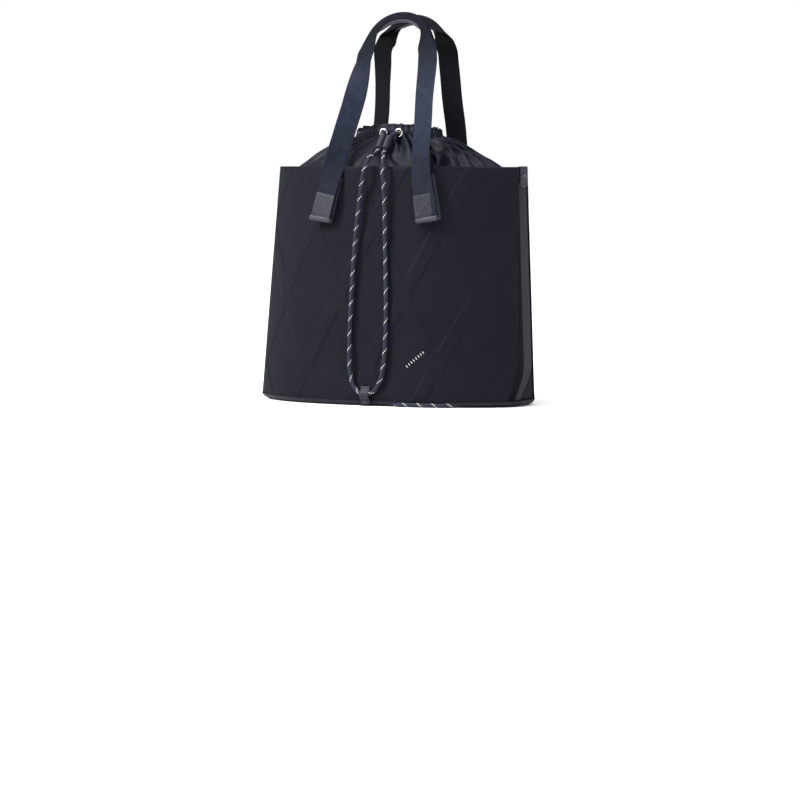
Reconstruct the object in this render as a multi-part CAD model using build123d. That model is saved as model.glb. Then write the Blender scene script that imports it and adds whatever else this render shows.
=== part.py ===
from build123d import *
import os
from math import atan2, cos, degrees, hypot, radians, sin, tan

# Foldable tote bag: soft body with inward-folded gussets, a drawstring collar, two webbing handles that
# swing on leather-wrapped bars, a free drawcord loop with its slider, a snap keeper and two side tabs.
# Millimetres. X runs along the width, the front faces -Y, Z is up, and the bag stands on z = 0.

# --- Driving dimensions -------------------------------------------------------------------------
RIM_WIDTH = 500.0
BASE_WIDTH = 536.0
RIM_HEIGHT = 444.0
SEAM_HEIGHT = 11.0          # where the panels are sewn to the base
SIDE_Y = (37.0, 14.0)       # middle of both gussets: rim, base
RIM_SIDE_DEPTH = 44.0       # front to rear at a gusset, at the rim
BASE_SIDE_DEPTH = 80.0
FRONT_BULGE = (82.0, 87.0)  # how far the middle of the front stands out from its sides: rim, base
REAR_BULGE = (36.0, 69.5)
BULGE_POWER = 3.0           # the panels are flattest in the middle
PANEL_THICK = 1.8
BASE_THICK = 3.0
LINING_GAP = 0.4
BASE_INSET = 14.0           # the base curves up from the floor over this width
GUSSET_THICK = 1.4
GUSSET_FOLD = (30.0, 22.0)  # how far the gusset's middle folds in: rim, base
GUSSET_INSET = 1.5          # from the sides of the panels in to the gusset
GUSSET_DROP = 3.0           # from the rim down to the gusset
FACING_HEIGHT = 24.0
FACING_THICK = 1.2
FACING_TRIM = 12.0          # from a side to the end of a rim facing

COLLAR_FOOT = 418.0         # the collar is sewn inside the rim here
COLLAR_TOP = 496.0
COLLAR_THICK = 1.4
COLLAR_TRIM = 4.0           # from the gusset's fold to the end of the collar's foot
HEM_TOP = 523.0
MOUTH = (88.0, 25.0)        # half axes of the gathered mouth
MOUTH_Y = 17.0
HEM_THICK = 12.0
HEM_BORE = 4.6              # radius of the cord tunnel

CORD_RADIUS = 3.9
FLOOR_GAP = 0.2             # from the floor up to the base cord
BASE_CORD_STATIONS = (62.0, 96.0, 130.0, 164.0)
BASE_CORD_OUT = 1.2         # its middle line runs this far outside the seam
BASE_CORD_RUN = 14.0        # its ends go this far sideways,
BASE_CORD_TURN_IN = (12.0, 14.0)  # this far in under the bag, left and right,
BASE_CORD_RISE = 1.5        # and this far up
HEM_CORD_END = 2.0          # from an eyelet's axis to the end of the hidden cord
EYELET_OUTER = 8.5
EYELET_BORE = 5.0
EYELET_X = 16.0
EYELET_Z = 506.5
EYELET_WALL = 0.7
EYELET_DEPTH = 3.4
EYELET_SEAT = 1.6           # from the hem's face to the flange's middle
EYELET_GAP = 0.2

SLIDER_CENTRE = (-4.3, -29.3, 488.8)
SLIDER_LENGTH = 27.0
SLIDER_PITCH = 14.0
SLIDER_TUBE = 6.7           # outer radius of each leather tube
SLIDER_BORE = 5.3
SLIDER_WEB = 3.0            # thickness between the two tubes
SLIDER_AXIS = Vector(0.12, 0.5, 0.86)

BAR_HEIGHT = 346.0
BAR_X = 111.0
BAR_RADIUS = 4.8
BAR_LENGTH = 44.0
BAR_STANDOFF = 13.5         # panel to bar centre
BAR_PLAN_TURN = 6.0
BAR_GAP = 0.6               # between a bar and what is round it
PANEL_TO_KNEE = 5.0          # the leg stands this far off the rim
STRAP_WIDTH = 41.0
STRAP_THICK = 2.4
KNEE_RISE = 104.0           # along the leg, from its bar to the rim
KNEE_X = 89.0
WAIST_X = 76.0              # middle of the leg, 0.42 of the way from its knee to the grip
WAIST_SHARE = 0.42
NECK_SHARE = 0.93           # where the leg has narrowed to 0.55 of its width
NECK_WIDTH = 0.55
GRIP_LEG_X = 67.0
GRIP_FOOT = 660.0
HANDLE_TOP = 732.0
GRIP_WIDTH = 15.0
GRIP_THICK = 11.0
LINING_WIDTH = 7.0
LINING_THICK = 1.6
FRONT_TOP_Y = 35.0
REAR_TOP_Y = 98.0
PATCH_LENGTH = 44.0
PATCH_THICK = 1.6
PATCH_GAP = 0.2
ANCHOR_THICK = 1.8
STRAP_OVERLAP = 6.0         # the upper legs run this far into the lower ones and into the grip
LINING_SHARE = 0.12         # share of the grip left without lining at each end
LINING_STANDOFF = 0.5       # from the grip to its lining
ANCHOR_LENGTH = 84.0
ANCHOR_WIDTH = 47.0
ANCHOR_LIFT = 1.3           # keeps the flat anchor off the curved panel
ANCHOR_FOOT = 4.0           # the anchor's strap starts this far below the bar
LOOP_WIDTH = 14.0           # the part of a bar that its anchor's loop holds
LOOP_THICK = 1.8
LUG_HEIGHT = 7.0

KEEPER_WIDTH = 19.0
KEEPER_THICK = 1.8
KEEPER_GAP = 0.6
KEEPER_STANDOFF = 2.4       # from the seam to the keeper's middle line
KEEPER_CREASE_Z = 3.3       # where the keeper bends up from its fixed foot
KEEPER_FOOT_Z = 1.1
KEEPER_FOOT_LENGTH = 13.4
KEEPER_FOOT_WIDTH = 16.0
SNAP_SEAT = 0.5             # from a leather surface to its snap cap
TAB_WIDTH = 32.0
TAB_DROP = 30.0
TAB_THICK = 2.0
TAB_STANDOFF = 1.0          # from the side's edge to the snap's plane
TAB_GAP = 0.6               # from the snap's plane to the tab's inner face
TAB_RIM_DROP = 0.2          # the tab hangs this far below the rim
TAB_LEDGE = (2.0, 3.1)      # height and depth of the leather that closes the rim behind the tab
TAB_LEDGE_AT = (13.5, -1.25)  # its middle, up from the snap and out from the snap's plane
TAB_END_RADIUS = 8.0
TAB_BASE_THICK = 1.6
TAB_BASE_DEPTH = 2.0        # from the snap's plane in to the backing's middle
TAB_BASE_MARGIN = 4.0       # the backing is this much wider than the tab, and this much shorter
STUD_RADIUS = 2.0
STUD_DEPTH = 0.4
STUD_HEIGHT = 1.4
SNAP_RISE = 0.36            # a snap cap's height over its radius
TAB_SNAP_RADIUS = 5.0
KEEPER_SNAP_RADIUS = 3.4
KEEPER_SNAP_Z = 7.2

# The drawcord's free loop, from the left eyelet down and back up to the right one.
DRAWCORD = [
    (-16.0, -5.9, 506.5), (-15.0, -13.0, 506.6), (-10.6, -19.0, 504.0), (-9.7, -23.5, 498.0),
    (-11.4, -29.6, 488.0), (-14.3, -41.5, 467.0), (-16.0, -66.0, 464.0), (-20.0, -83.5, 438.0),
    (-27.0, -82.0, 398.0), (-34.0, -85.5, 335.0), (-37.5, -92.8, 258.0), (-38.5, -102.5, 165.0),
    (-37.0, -110.5, 92.0), (-32.0, -115.0, 50.0), (-19.0, -117.0, 27.0), (0.0, -117.2, 20.0),
    (19.0, -117.0, 27.0), (33.0, -115.0, 51.0), (37.5, -110.0, 97.0), (36.0, -102.0, 170.0),
    (30.0, -92.3, 260.0), (25.0, -85.2, 339.0), (22.0, -82.0, 400.0), (19.0, -83.5, 439.0),
    (13.0, -66.0, 464.5), (-0.5, -41.5, 467.0), (2.6, -29.6, 488.0), (4.3, -23.5, 498.0),
    (8.6, -18.5, 504.5), (15.0, -13.0, 506.6), (16.0, -5.9, 506.5),
]


def share(z):
    """0 at the rim, 1 at the base seam."""
    return (RIM_HEIGHT - z) / (RIM_HEIGHT - SEAM_HEIGHT)


def mix(pair, z):
    return pair[0] + (pair[1] - pair[0]) * share(z)


def side_y(z):
    """Y of the middle of the sides."""
    return mix(SIDE_Y, z)


def half_width(z):
    return mix((RIM_WIDTH, BASE_WIDTH), z) / 2


def half_side(z):
    return mix((RIM_SIDE_DEPTH, BASE_SIDE_DEPTH), z) / 2


def panel_y(front, x, z, inset=0.0):
    """Y of a panel's outer face, moved into the bag by inset."""
    bulge = mix(FRONT_BULGE if front else REAR_BULGE, z)
    reach = half_side(z) + bulge * (1 - abs(x / half_width(z)) ** BULGE_POWER) - inset
    return side_y(z) - reach if front else side_y(z) + reach


def panel_curve(front, z, inset, trim=0.0, count=17):
    """Spline along one panel at height z, with its ends pulled in by trim."""
    reach = half_width(z) - trim
    xs = [reach * (2 * i / (count - 1) - 1) for i in range(count)]
    return Spline(*[(x, panel_y(front, x, z, inset), z) for x in xs])


def band_face(front, z, outer, inner, trim=0.0):
    """Flat face between two insets of one panel."""
    first = panel_curve(front, z, outer, trim)
    second = panel_curve(front, z, inner, trim)
    ends = [Line(first @ 0, second @ 0), Line(first @ 1, second @ 1)]
    return Face(Wire([first, ends[0], second, ends[1]]))


def ring_face(z, inset, trim):
    """Full outline of the bag at height z: both panels and the straight sides between them."""
    front = panel_curve(True, z, inset, trim)
    rear = panel_curve(False, z, inset, trim)
    return Face(Wire([front, Line(front @ 1, rear @ 1), rear, Line(rear @ 0, front @ 0)]))


def solid_of(shape):
    """The one solid of a boolean result."""
    return shape.solids().sort_by(SortBy.VOLUME)[-1]


def write(name, shape):
    shape.label = name
    export_step(shape, f"parts/{name}.step")


def tube(points, radius):
    """A cord's tube: straight runs and tangent arcs as large as the runs allow."""
    vectors = [Vector(*p) for p in points]
    radii = []
    for before, here, after in zip(vectors, vectors[1:], vectors[2:]):
        turn = (here - before).get_angle(after - here)
        shorter = min((here - before).length, (after - here).length)
        radii.append(0.45 * shorter / tan(radians(turn / 2)))
    path = FilletPolyline(*vectors, radius=radii)
    section = Plane(path @ 0, z_dir=path % 0) * Circle(radius)
    body = sweep(section, path=path)
    expected = Circle(radius).area * path.length
    print(f"cord {path.length:.1f} mm, radii {[round(r, 1) for r in radii]}")
    print(f"cord volume over section x length: {body.volume / expected:.4f}")
    return solid_of(body)


# --- Body ---------------------------------------------------------------------------------------
def make_panel(front):
    levels = (SEAM_HEIGHT, RIM_HEIGHT)
    return solid_of(loft([band_face(front, z, 0, PANEL_THICK) for z in levels], ruled=True))


def make_facing(front):
    start = PANEL_THICK + LINING_GAP
    levels = (RIM_HEIGHT - FACING_HEIGHT, RIM_HEIGHT)
    faces = [band_face(front, z, start, start + FACING_THICK, trim=FACING_TRIM) for z in levels]
    return solid_of(loft(faces, ruled=True))


def gusset_face(side, z):
    """The folded gusset in plan: a thin V whose point is inside the bag."""
    edge = half_width(z) - GUSSET_INSET
    fold = edge - mix(GUSSET_FOLD, z)
    reach = half_side(z) - PANEL_THICK - LINING_GAP
    outer = [(edge, -reach), (fold, 0), (edge, reach)]
    inner = [(edge - GUSSET_THICK, reach), (fold - GUSSET_THICK, 0), (edge - GUSSET_THICK, -reach)]
    points = [(side * x, side_y(z) + y, z) for x, y in outer + inner]
    return Face(Wire(Polyline(*points, close=True).edges()))


def make_gusset(side):
    levels = (SEAM_HEIGHT + LINING_GAP, RIM_HEIGHT - GUSSET_DROP)
    return solid_of(loft([gusset_face(side, z) for z in levels], ruled=True))


def make_base():
    """Base panel: a shallow tray whose underside lies flat and whose edge rises to the seam."""
    floor_face = ring_face(SEAM_HEIGHT, BASE_INSET, BASE_INSET).translate((0, 0, -SEAM_HEIGHT))
    seam_face = ring_face(SEAM_HEIGHT, 0, 0).translate((0, 0, -LINING_GAP))
    block = loft([floor_face, seam_face], ruled=True)
    hollow_floor = ring_face(SEAM_HEIGHT, BASE_INSET + BASE_THICK, BASE_INSET + BASE_THICK)
    hollow_floor = hollow_floor.translate((0, 0, BASE_THICK - SEAM_HEIGHT))
    hollow_top = ring_face(SEAM_HEIGHT, 2 * BASE_THICK, 2 * BASE_THICK)
    return solid_of(block - loft([hollow_floor, hollow_top], ruled=True))


def make_base_cord(base):
    """Rope lying under the right half of the front seam, its ends let into the base's edge."""
    points = []
    for x in BASE_CORD_STATIONS:
        points.append((x, panel_y(True, x, SEAM_HEIGHT) - BASE_CORD_OUT, CORD_RADIUS + FLOOR_GAP))
    end_z = points[0][2] + BASE_CORD_RISE
    first = (points[0][0] - BASE_CORD_RUN, points[0][1] + BASE_CORD_TURN_IN[0], end_z)
    last = (points[-1][0] + BASE_CORD_RUN, points[-1][1] + BASE_CORD_TURN_IN[1], end_z)
    rope = tube([first] + points + [last], CORD_RADIUS)
    return solid_of(rope - base)


# --- Collar, hem, eyelets -----------------------------------------------------------------------
def oval(z, grow, centre_y=MOUTH_Y):
    return Pos(0, centre_y, z) * Ellipse(MOUTH[0] + grow, MOUTH[1] + grow)


def make_collar():
    inset = PANEL_THICK + 2 * LINING_GAP + FACING_THICK
    trim = GUSSET_FOLD[0] + COLLAR_TRIM
    outer_foot = ring_face(COLLAR_FOOT, inset, trim)
    inner_foot = ring_face(COLLAR_FOOT, inset + COLLAR_THICK, trim + COLLAR_THICK)
    outer = loft([outer_foot, oval(COLLAR_TOP, 0).face()])
    inner = loft([inner_foot, oval(COLLAR_TOP, -COLLAR_THICK).face()])
    return solid_of(outer - inner)


def hem_path(z):
    return Pos(0, MOUTH_Y, z) * Edge.make_ellipse(
        MOUTH[0] - HEM_THICK / 2, MOUTH[1] - HEM_THICK / 2
    )


def make_hem():
    """Hem with the tunnel that holds the cord, and the two holes for the eyelets."""
    height = HEM_TOP - COLLAR_TOP - LINING_GAP
    foot = COLLAR_TOP + LINING_GAP
    band = extrude(oval(foot, 0) - oval(foot, -HEM_THICK), height)
    path = hem_path(EYELET_Z)
    tunnel = sweep(Plane(path @ 0, z_dir=path % 0) * Circle(HEM_BORE), path=path)
    hem = band - tunnel
    for side in (-1, 1):
        hem = hem - eyelet_frame(side) * Cylinder(EYELET_BORE + EYELET_WALL + EYELET_GAP, 2 * HEM_THICK)
    return solid_of(hem)


def hem_front_y(x):
    """Y of the hem's outer face in front."""
    return MOUTH_Y - MOUTH[1] * (1 - (x / MOUTH[0]) ** 2) ** 0.5


def eyelet_frame(side):
    """Local Z points out of the hem's front, at one eyelet."""
    x = side * EYELET_X
    return Location(Plane((x, hem_front_y(x), EYELET_Z), x_dir=(1, 0, 0), z_dir=(0, -1, 0)))


def make_eyelet(side):
    """Short barrel with a flange that is the outer half of a ring."""
    barrel = Cylinder(EYELET_BORE + EYELET_WALL, EYELET_DEPTH) - Cylinder(EYELET_BORE, EYELET_DEPTH)
    roll = (EYELET_OUTER - EYELET_BORE) / 2
    outer_half = Pos(0, 0, roll) * Cylinder(2 * EYELET_OUTER, 2 * roll)
    flange = Torus(EYELET_BORE + roll, roll) & outer_half
    flange = Pos(0, 0, EYELET_SEAT) * flange
    return solid_of(eyelet_frame(side) * (barrel + flange))


def make_hem_cord():
    """The cord's hidden stretch: round the back of the mouth, from one eyelet to the other."""
    a, b = MOUTH[0] - HEM_THICK / 2, MOUTH[1] - HEM_THICK / 2
    start_x = EYELET_X - HEM_CORD_END
    gap = degrees(atan2((1 - (start_x / a) ** 2) ** 0.5 * a, start_x))
    rope_path = Pos(0, MOUTH_Y, EYELET_Z) * Edge.make_ellipse(
        a, b, start_angle=-gap, end_angle=180 + gap
    )
    rope = sweep(Plane(rope_path @ 0, z_dir=rope_path % 0) * Circle(CORD_RADIUS), path=rope_path)
    return solid_of(rope)


# --- Slider, keeper, side tabs ------------------------------------------------------------------
def slider_plane():
    return Plane(SLIDER_CENTRE, x_dir=(1, 0, 0), z_dir=SLIDER_AXIS.normalized())


def make_slider():
    shape = Box(SLIDER_PITCH, SLIDER_WEB, SLIDER_LENGTH)
    for side in (-1, 1):
        shape = shape + Pos(side * SLIDER_PITCH / 2, 0, 0) * Cylinder(SLIDER_TUBE, SLIDER_LENGTH)
    for side in (-1, 1):
        shape = shape - Pos(side * SLIDER_PITCH / 2, 0, 0) * Cylinder(SLIDER_BORE, 2 * SLIDER_LENGTH)
    return solid_of(Location(slider_plane()) * shape)


def keeper_wall():
    """Y of the keeper's middle line where it lies close in front of the seam."""
    return panel_y(True, 0, SEAM_HEIGHT) - KEEPER_STANDOFF


def strip_in_profile(points, width):
    """Leather strip of even thickness, bent along points in the YZ plane and centred on x = 0."""
    profile = make_face(offset(Polyline(*points), KEEPER_THICK / 2, side=Side.BOTH).edges())
    return solid_of(extrude(Plane.YZ * profile, width / 2, both=True))


def make_keeper():
    """Leather tab: up in front of the seam, out round the cord, and back above it to the panel."""
    near = keeper_wall()
    middle = DRAWCORD[len(DRAWCORD) // 2]
    far = middle[1] - CORD_RADIUS - KEEPER_THICK / 2 - KEEPER_GAP
    low = middle[2] - CORD_RADIUS
    high = middle[2] + CORD_RADIUS
    points = [(near, KEEPER_CREASE_Z), (near - 0.3, low - 5.2), (far, low - 1.6)]
    points += [(far, high + 2.0), (near - 0.8, high + 7.0), (near + 0.8, high + 13.0)]
    return strip_in_profile(points, KEEPER_WIDTH)


def make_keeper_foot():
    """Fixed end of the keeper, sewn under the base; the tab folds down about its front edge."""
    start = keeper_wall() - 1.0
    points = [(start, KEEPER_FOOT_Z), (start + KEEPER_FOOT_LENGTH, KEEPER_FOOT_Z)]
    return strip_in_profile(points, KEEPER_FOOT_WIDTH)


def make_snap_cap(plane, radius):
    """Domed snap cap standing on a plane."""
    height = SNAP_RISE * radius
    ball = (radius**2 + height**2) / (2 * height)
    dome = Pos(0, 0, height - ball) * Sphere(ball)
    dome = dome & Pos(0, 0, height) * Cylinder(2 * radius, 2 * height)
    return solid_of(Location(plane) * dome)


def tab_plane(side):
    """Outward-facing plane of a side tab, at its snap."""
    z = RIM_HEIGHT - TAB_DROP / 2
    x = side * (RIM_WIDTH / 2 + TAB_STANDOFF)
    return Plane((x, side_y(RIM_HEIGHT), z), x_dir=(0, side, 0), z_dir=(side, 0, 0))


def make_tab(side):
    """Side tab: a leather tongue that hangs over the rim, with a rounded end."""
    tongue = Rectangle(TAB_WIDTH, TAB_DROP) + Pos(0, -TAB_DROP / 2) * Ellipse(TAB_WIDTH / 2, TAB_END_RADIUS)
    tongue = extrude(tongue, TAB_THICK)
    return solid_of(Location(tab_plane(side)) * (Pos(0, -TAB_RIM_DROP, TAB_GAP) * tongue))


def make_tab_base(side):
    """Leather backing that closes the top of the folded gusset and carries the snap's stud."""
    plate = Box(TAB_WIDTH + TAB_BASE_MARGIN, TAB_DROP - TAB_BASE_MARGIN, TAB_BASE_THICK)
    plate = Pos(0, 0, -TAB_BASE_DEPTH) * plate
    ledge = Pos(0, *TAB_LEDGE_AT) * Box(TAB_WIDTH, *TAB_LEDGE)
    return solid_of(Location(tab_plane(side)) * (plate + ledge))


def make_stud(plane, depth):
    """Snap stud: a short post."""
    return solid_of(Location(plane) * (Pos(0, 0, depth) * Cylinder(STUD_RADIUS, STUD_HEIGHT)))


# --- Handles ------------------------------------------------------------------------------------
def bar_y(front):
    out = -1 if front else 1
    return panel_y(front, BAR_X, BAR_HEIGHT) + out * BAR_STANDOFF


def leg_plane(front, side):
    """At a bar's centre: local X along the bar, local Y up the leg, local Z out of the bag."""
    out = -1 if front else 1
    knee_y = panel_y(front, KNEE_X, RIM_HEIGHT) + out * PANEL_TO_KNEE
    up = Vector(-side * (BAR_X - KNEE_X), knee_y - bar_y(front), KNEE_RISE).normalized()
    turn = radians(BAR_PLAN_TURN)
    across = Vector(cos(turn), -out * side * sin(turn), 0)
    normal = across.cross(up) if front else up.cross(across)
    normal = normal * (1 if normal.Y * out > 0 else -1)
    along = up.cross(normal)
    return Plane((side * BAR_X, bar_y(front), BAR_HEIGHT), x_dir=along, z_dir=normal)


def bar_plane(front, side):
    """At a bar's centre: local X along the hinge axis, which is also the bar's, local Z out."""
    return Plane((side * BAR_X, bar_y(front), BAR_HEIGHT), x_dir=(1, 0, 0), z_dir=(0, -1 if front else 1, 0))


def bar_solid(front, side, grow=0.0):
    rod = Rot(0, 90, 0) * Cylinder(BAR_RADIUS + grow, BAR_LENGTH + 4 * grow)
    return Location(bar_plane(front, side)) * rod


def make_bar(front, side):
    return solid_of(bar_solid(front, side))


def anchor_plane(front, side):
    """On the panel at bar height: local X across, local Y up the panel, local Z out of the bag."""
    out = -1 if front else 1
    half = ANCHOR_WIDTH / 2
    rise = (BAR_X - KNEE_X) / KNEE_RISE * ANCHOR_LENGTH
    low = Vector(side * BAR_X, panel_y(front, BAR_X, BAR_HEIGHT), BAR_HEIGHT)
    high_z = BAR_HEIGHT + ANCHOR_LENGTH
    high = Vector(side * (BAR_X - rise), panel_y(front, BAR_X - rise, high_z), high_z)
    inner = Vector(side * (BAR_X - half), panel_y(front, BAR_X - half, BAR_HEIGHT), BAR_HEIGHT)
    outer = Vector(side * (BAR_X + half), panel_y(front, BAR_X + half, BAR_HEIGHT), BAR_HEIGHT)
    across = (outer - inner).normalized()
    normal = across.cross(high - low).normalized()
    normal = normal * (1 if normal.Y * out > 0 else -1)
    return Plane(low, x_dir=(high - low).cross(normal), z_dir=normal)


def make_anchor(front, side):
    """Strap sewn to the panel behind a handle's end, with the half loop that holds its bar."""
    lift = ANCHOR_LIFT + ANCHOR_THICK / 2
    plate = Box(ANCHOR_WIDTH, ANCHOR_LENGTH, ANCHOR_THICK)
    plate = Pos(0, ANCHOR_LENGTH / 2 - ANCHOR_FOOT, lift) * plate
    inner = BAR_RADIUS + BAR_GAP
    outer = inner + LOOP_THICK
    reach = BAR_STANDOFF - (inner + outer) / 2 - lift
    lug = Pos(0, 0, lift + reach / 2) * Box(LOOP_WIDTH, LUG_HEIGHT, reach)
    seat = Location(anchor_plane(front, side)) * (plate + lug)
    seat = seat - bar_solid(front, side, BAR_GAP)
    ring = Rot(0, 90, 0) * (Cylinder(outer, LOOP_WIDTH) - Cylinder(inner, LOOP_WIDTH))
    depth = outer - 1.5 * STRAP_THICK
    ring = ring & Pos(0, 0, depth / 2 - outer) * Box(LOOP_WIDTH, 2 * outer, depth)
    return solid_of(seat + Location(bar_plane(front, side)) * ring)


def make_patch(front, side):
    lift = STRAP_THICK / 2 + PATCH_GAP + PATCH_THICK / 2
    patch = Box(STRAP_WIDTH, PATCH_LENGTH, PATCH_THICK)
    patch = Pos(0, BAR_RADIUS + BAR_GAP + PATCH_LENGTH / 2, lift) * patch
    return solid_of(Location(leg_plane(front, side)) * patch - bar_solid(front, side, BAR_GAP))


def grip_points(front):
    """Places of the leg's knee, the grip's foot and the handle's top."""
    out = -1 if front else 1
    knee_y = panel_y(front, KNEE_X, RIM_HEIGHT) + out * PANEL_TO_KNEE
    top_y = FRONT_TOP_Y if front else REAR_TOP_Y
    knee_z = BAR_HEIGHT + KNEE_RISE
    lean = (top_y - knee_y) / (HANDLE_TOP - knee_z)
    return knee_y, knee_z, lean


def make_strap(front):
    """One webbing strap: two flat legs, and the folded grip that joins them over the top."""
    knee_y, knee_z, lean = grip_points(front)
    up = Vector(0, lean, 1).normalized()
    out = -1 if front else 1
    plane = Plane((0, knee_y, knee_z), x_dir=(1, 0, 0), z_dir=(0, out, -out * lean))
    flip = plane.y_dir.Z < 0
    stretch = hypot(1, lean)
    foot = (GRIP_FOOT - knee_z) * stretch
    top = (HANDLE_TOP - knee_z) * stretch - GRIP_WIDTH / 2
    half = STRAP_WIDTH / 2
    sign = -1 if flip else 1
    solids = []
    for side in (-1, 1):
        leg = Location(leg_plane(front, side))
        lower = Box(STRAP_WIDTH, KNEE_RISE, STRAP_THICK)
        lower = leg * (Pos(0, BAR_RADIUS + BAR_GAP + KNEE_RISE / 2, 0) * lower)
        solids.append(lower - bar_solid(front, side, BAR_GAP))
        outline = Polyline(
            (side * (KNEE_X + half), sign * -STRAP_OVERLAP),
            (side * (WAIST_X + half), sign * WAIST_SHARE * foot),
            (side * (GRIP_LEG_X + half * NECK_WIDTH), sign * NECK_SHARE * foot),
            (side * (GRIP_LEG_X + GRIP_WIDTH / 2 - 1), sign * (foot + STRAP_OVERLAP)),
            (side * (GRIP_LEG_X - GRIP_WIDTH / 2 + 1), sign * (foot + STRAP_OVERLAP)),
            (side * (GRIP_LEG_X - half * NECK_WIDTH), sign * NECK_SHARE * foot),
            (side * (WAIST_X - half), sign * WAIST_SHARE * foot),
            (side * (KNEE_X - half), sign * -STRAP_OVERLAP),
            close=True,
        )
        upper = extrude(plane * make_face(outline), STRAP_THICK / 2, both=True)
        solids.append(upper)
    arc = ThreePointArc(
        (-GRIP_LEG_X, sign * foot), (0, sign * top), (GRIP_LEG_X, sign * foot)
    )
    path = plane * arc
    start = Plane(path @ 0, x_dir=plane.z_dir, z_dir=path % 0)
    solids.append(sweep(start * Ellipse(GRIP_THICK / 2, GRIP_WIDTH / 2), path=path))
    whole = solids[0]
    for piece in solids[1:]:
        whole = whole + piece
    return solid_of(whole), path, plane


def make_grip_lining(path, plane):
    """Thin lining sewn along the inside of the folded grip."""
    inner = GRIP_WIDTH / 2 + LINING_STANDOFF + LINING_THICK / 2
    middle = path @ 0.5
    centre = (path @ 0 + path @ 1) * 0.5
    toward = (centre - middle).normalized()
    shares = (LINING_SHARE, 0.5, 1 - LINING_SHARE)
    lined = []
    for share_along in shares:
        point = path @ share_along
        side_way = plane.z_dir.cross(path % share_along).normalized()
        side_way = side_way * (1 if side_way.dot(toward) > 0 else -1)
        lined.append(point + side_way * inner)
    arc = ThreePointArc(*lined)
    start = Plane(arc @ 0, x_dir=plane.z_dir, z_dir=arc % 0)
    return solid_of(sweep(start * Rectangle(LINING_WIDTH, LINING_THICK), path=arc))


# --- Write every sub-part -----------------------------------------------------------------------
def main():
    os.makedirs("parts", exist_ok=True)
    base = make_base()
    write("base_panel", base)
    write("base_cord", make_base_cord(base))
    write("collar_skirt", make_collar())
    write("collar_hem", make_hem())
    write("hem_cord", make_hem_cord())
    write("drawcord", tube(DRAWCORD, CORD_RADIUS))
    write("cord_slider", make_slider())
    write("keeper_tab", make_keeper())
    write("keeper_foot", make_keeper_foot())
    cap_y = keeper_wall() - KEEPER_THICK / 2 - SNAP_SEAT
    keeper_plane = Plane((0, cap_y, KEEPER_SNAP_Z), z_dir=(0, -1, 0))
    write("keeper_snap_cap", make_snap_cap(keeper_plane, KEEPER_SNAP_RADIUS))
    for front, name in ((True, "front"), (False, "rear")):
        write(f"{name}_panel", make_panel(front))
        write(f"{name}_rim_facing", make_facing(front))
        strap, path, plane = make_strap(front)
        write(f"{name}_handle_strap", strap)
        write(f"{name}_grip_lining", make_grip_lining(path, plane))
        for side, hand in ((-1, "left"), (1, "right")):
            write(f"{name}_bar_{hand}", make_bar(front, side))
            write(f"{name}_anchor_{hand}", make_anchor(front, side))
            write(f"{name}_patch_{hand}", make_patch(front, side))
    for side, hand in ((-1, "left"), (1, "right")):
        write(f"{hand}_gusset", make_gusset(side))
        write(f"eyelet_{hand}", make_eyelet(side))
        write(f"{hand}_tab", make_tab(side))
        write(f"{hand}_tab_base", make_tab_base(side))
        cap_plane = tab_plane(side).offset(TAB_THICK + TAB_GAP + 0.1)
        write(f"{hand}_tab_snap_cap", make_snap_cap(cap_plane, TAB_SNAP_RADIUS))
        write(f"{hand}_tab_stud", make_stud(tab_plane(side), -STUD_DEPTH))


main()
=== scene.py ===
from math import ceil, cos, exp, hypot, pi, radians, sin, sqrt, tau

import bpy
import numpy as np
from mathutils import Matrix, Vector, noise


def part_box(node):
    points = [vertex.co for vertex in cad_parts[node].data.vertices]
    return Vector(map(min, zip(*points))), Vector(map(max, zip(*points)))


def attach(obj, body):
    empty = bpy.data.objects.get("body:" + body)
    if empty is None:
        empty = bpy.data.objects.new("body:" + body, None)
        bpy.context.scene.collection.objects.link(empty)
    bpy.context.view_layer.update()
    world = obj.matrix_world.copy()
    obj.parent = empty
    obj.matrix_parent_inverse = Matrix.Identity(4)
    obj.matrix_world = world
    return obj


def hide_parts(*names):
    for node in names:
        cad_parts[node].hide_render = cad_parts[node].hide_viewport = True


# Foldable tote bag. Shapes are worked out in millimetres, as in the part's source, and new_piece()
# turns them into metres. X runs along the width, the front faces -Y, Z is up.
MM = 0.001

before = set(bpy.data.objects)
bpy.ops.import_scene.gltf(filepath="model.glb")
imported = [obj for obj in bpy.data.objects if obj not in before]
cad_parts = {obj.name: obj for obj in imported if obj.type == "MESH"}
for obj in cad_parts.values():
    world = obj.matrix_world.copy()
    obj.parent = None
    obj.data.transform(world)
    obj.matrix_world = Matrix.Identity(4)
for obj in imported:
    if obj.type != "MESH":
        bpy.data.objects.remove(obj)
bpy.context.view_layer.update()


def box_mm(node):
    """Lowest and highest corner of a CAD node, in millimetres."""
    low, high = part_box(node)
    return low / MM, high / MM


# --- Driving dimensions -------------------------------------------------------------------------
SEAM_HEIGHT = box_mm("front_panel")[0].z
RIM_HEIGHT = box_mm("front_panel")[1].z
BASE_WIDTH = 2 * box_mm("front_panel")[1].x
RIM_WIDTH = 500.0
SIDE_Y = (37.0, 14.0)        # middle of both sides: rim, base
SIDE_DEPTH = (44.0, 80.0)    # front to rear at a side: rim, base
BULGE = {True: (82.0, 87.0), False: (36.0, 69.5)}
BULGE_POWER = 3.0
PANEL_THICK = 1.8
CORNER_PULL = 17.0           # the front's lower right corner is drawn in by this
CORNER_RISE = 78.0
RELIEF_HEIGHT = 1.5
RELIEF_WIDTH = 24.0
RELIEF_PITCH = 134.0
RELIEF_SLOPE = 0.5
RELIEF_EDGE = 1.6
RELIEF_ROUND = 7.0

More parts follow.
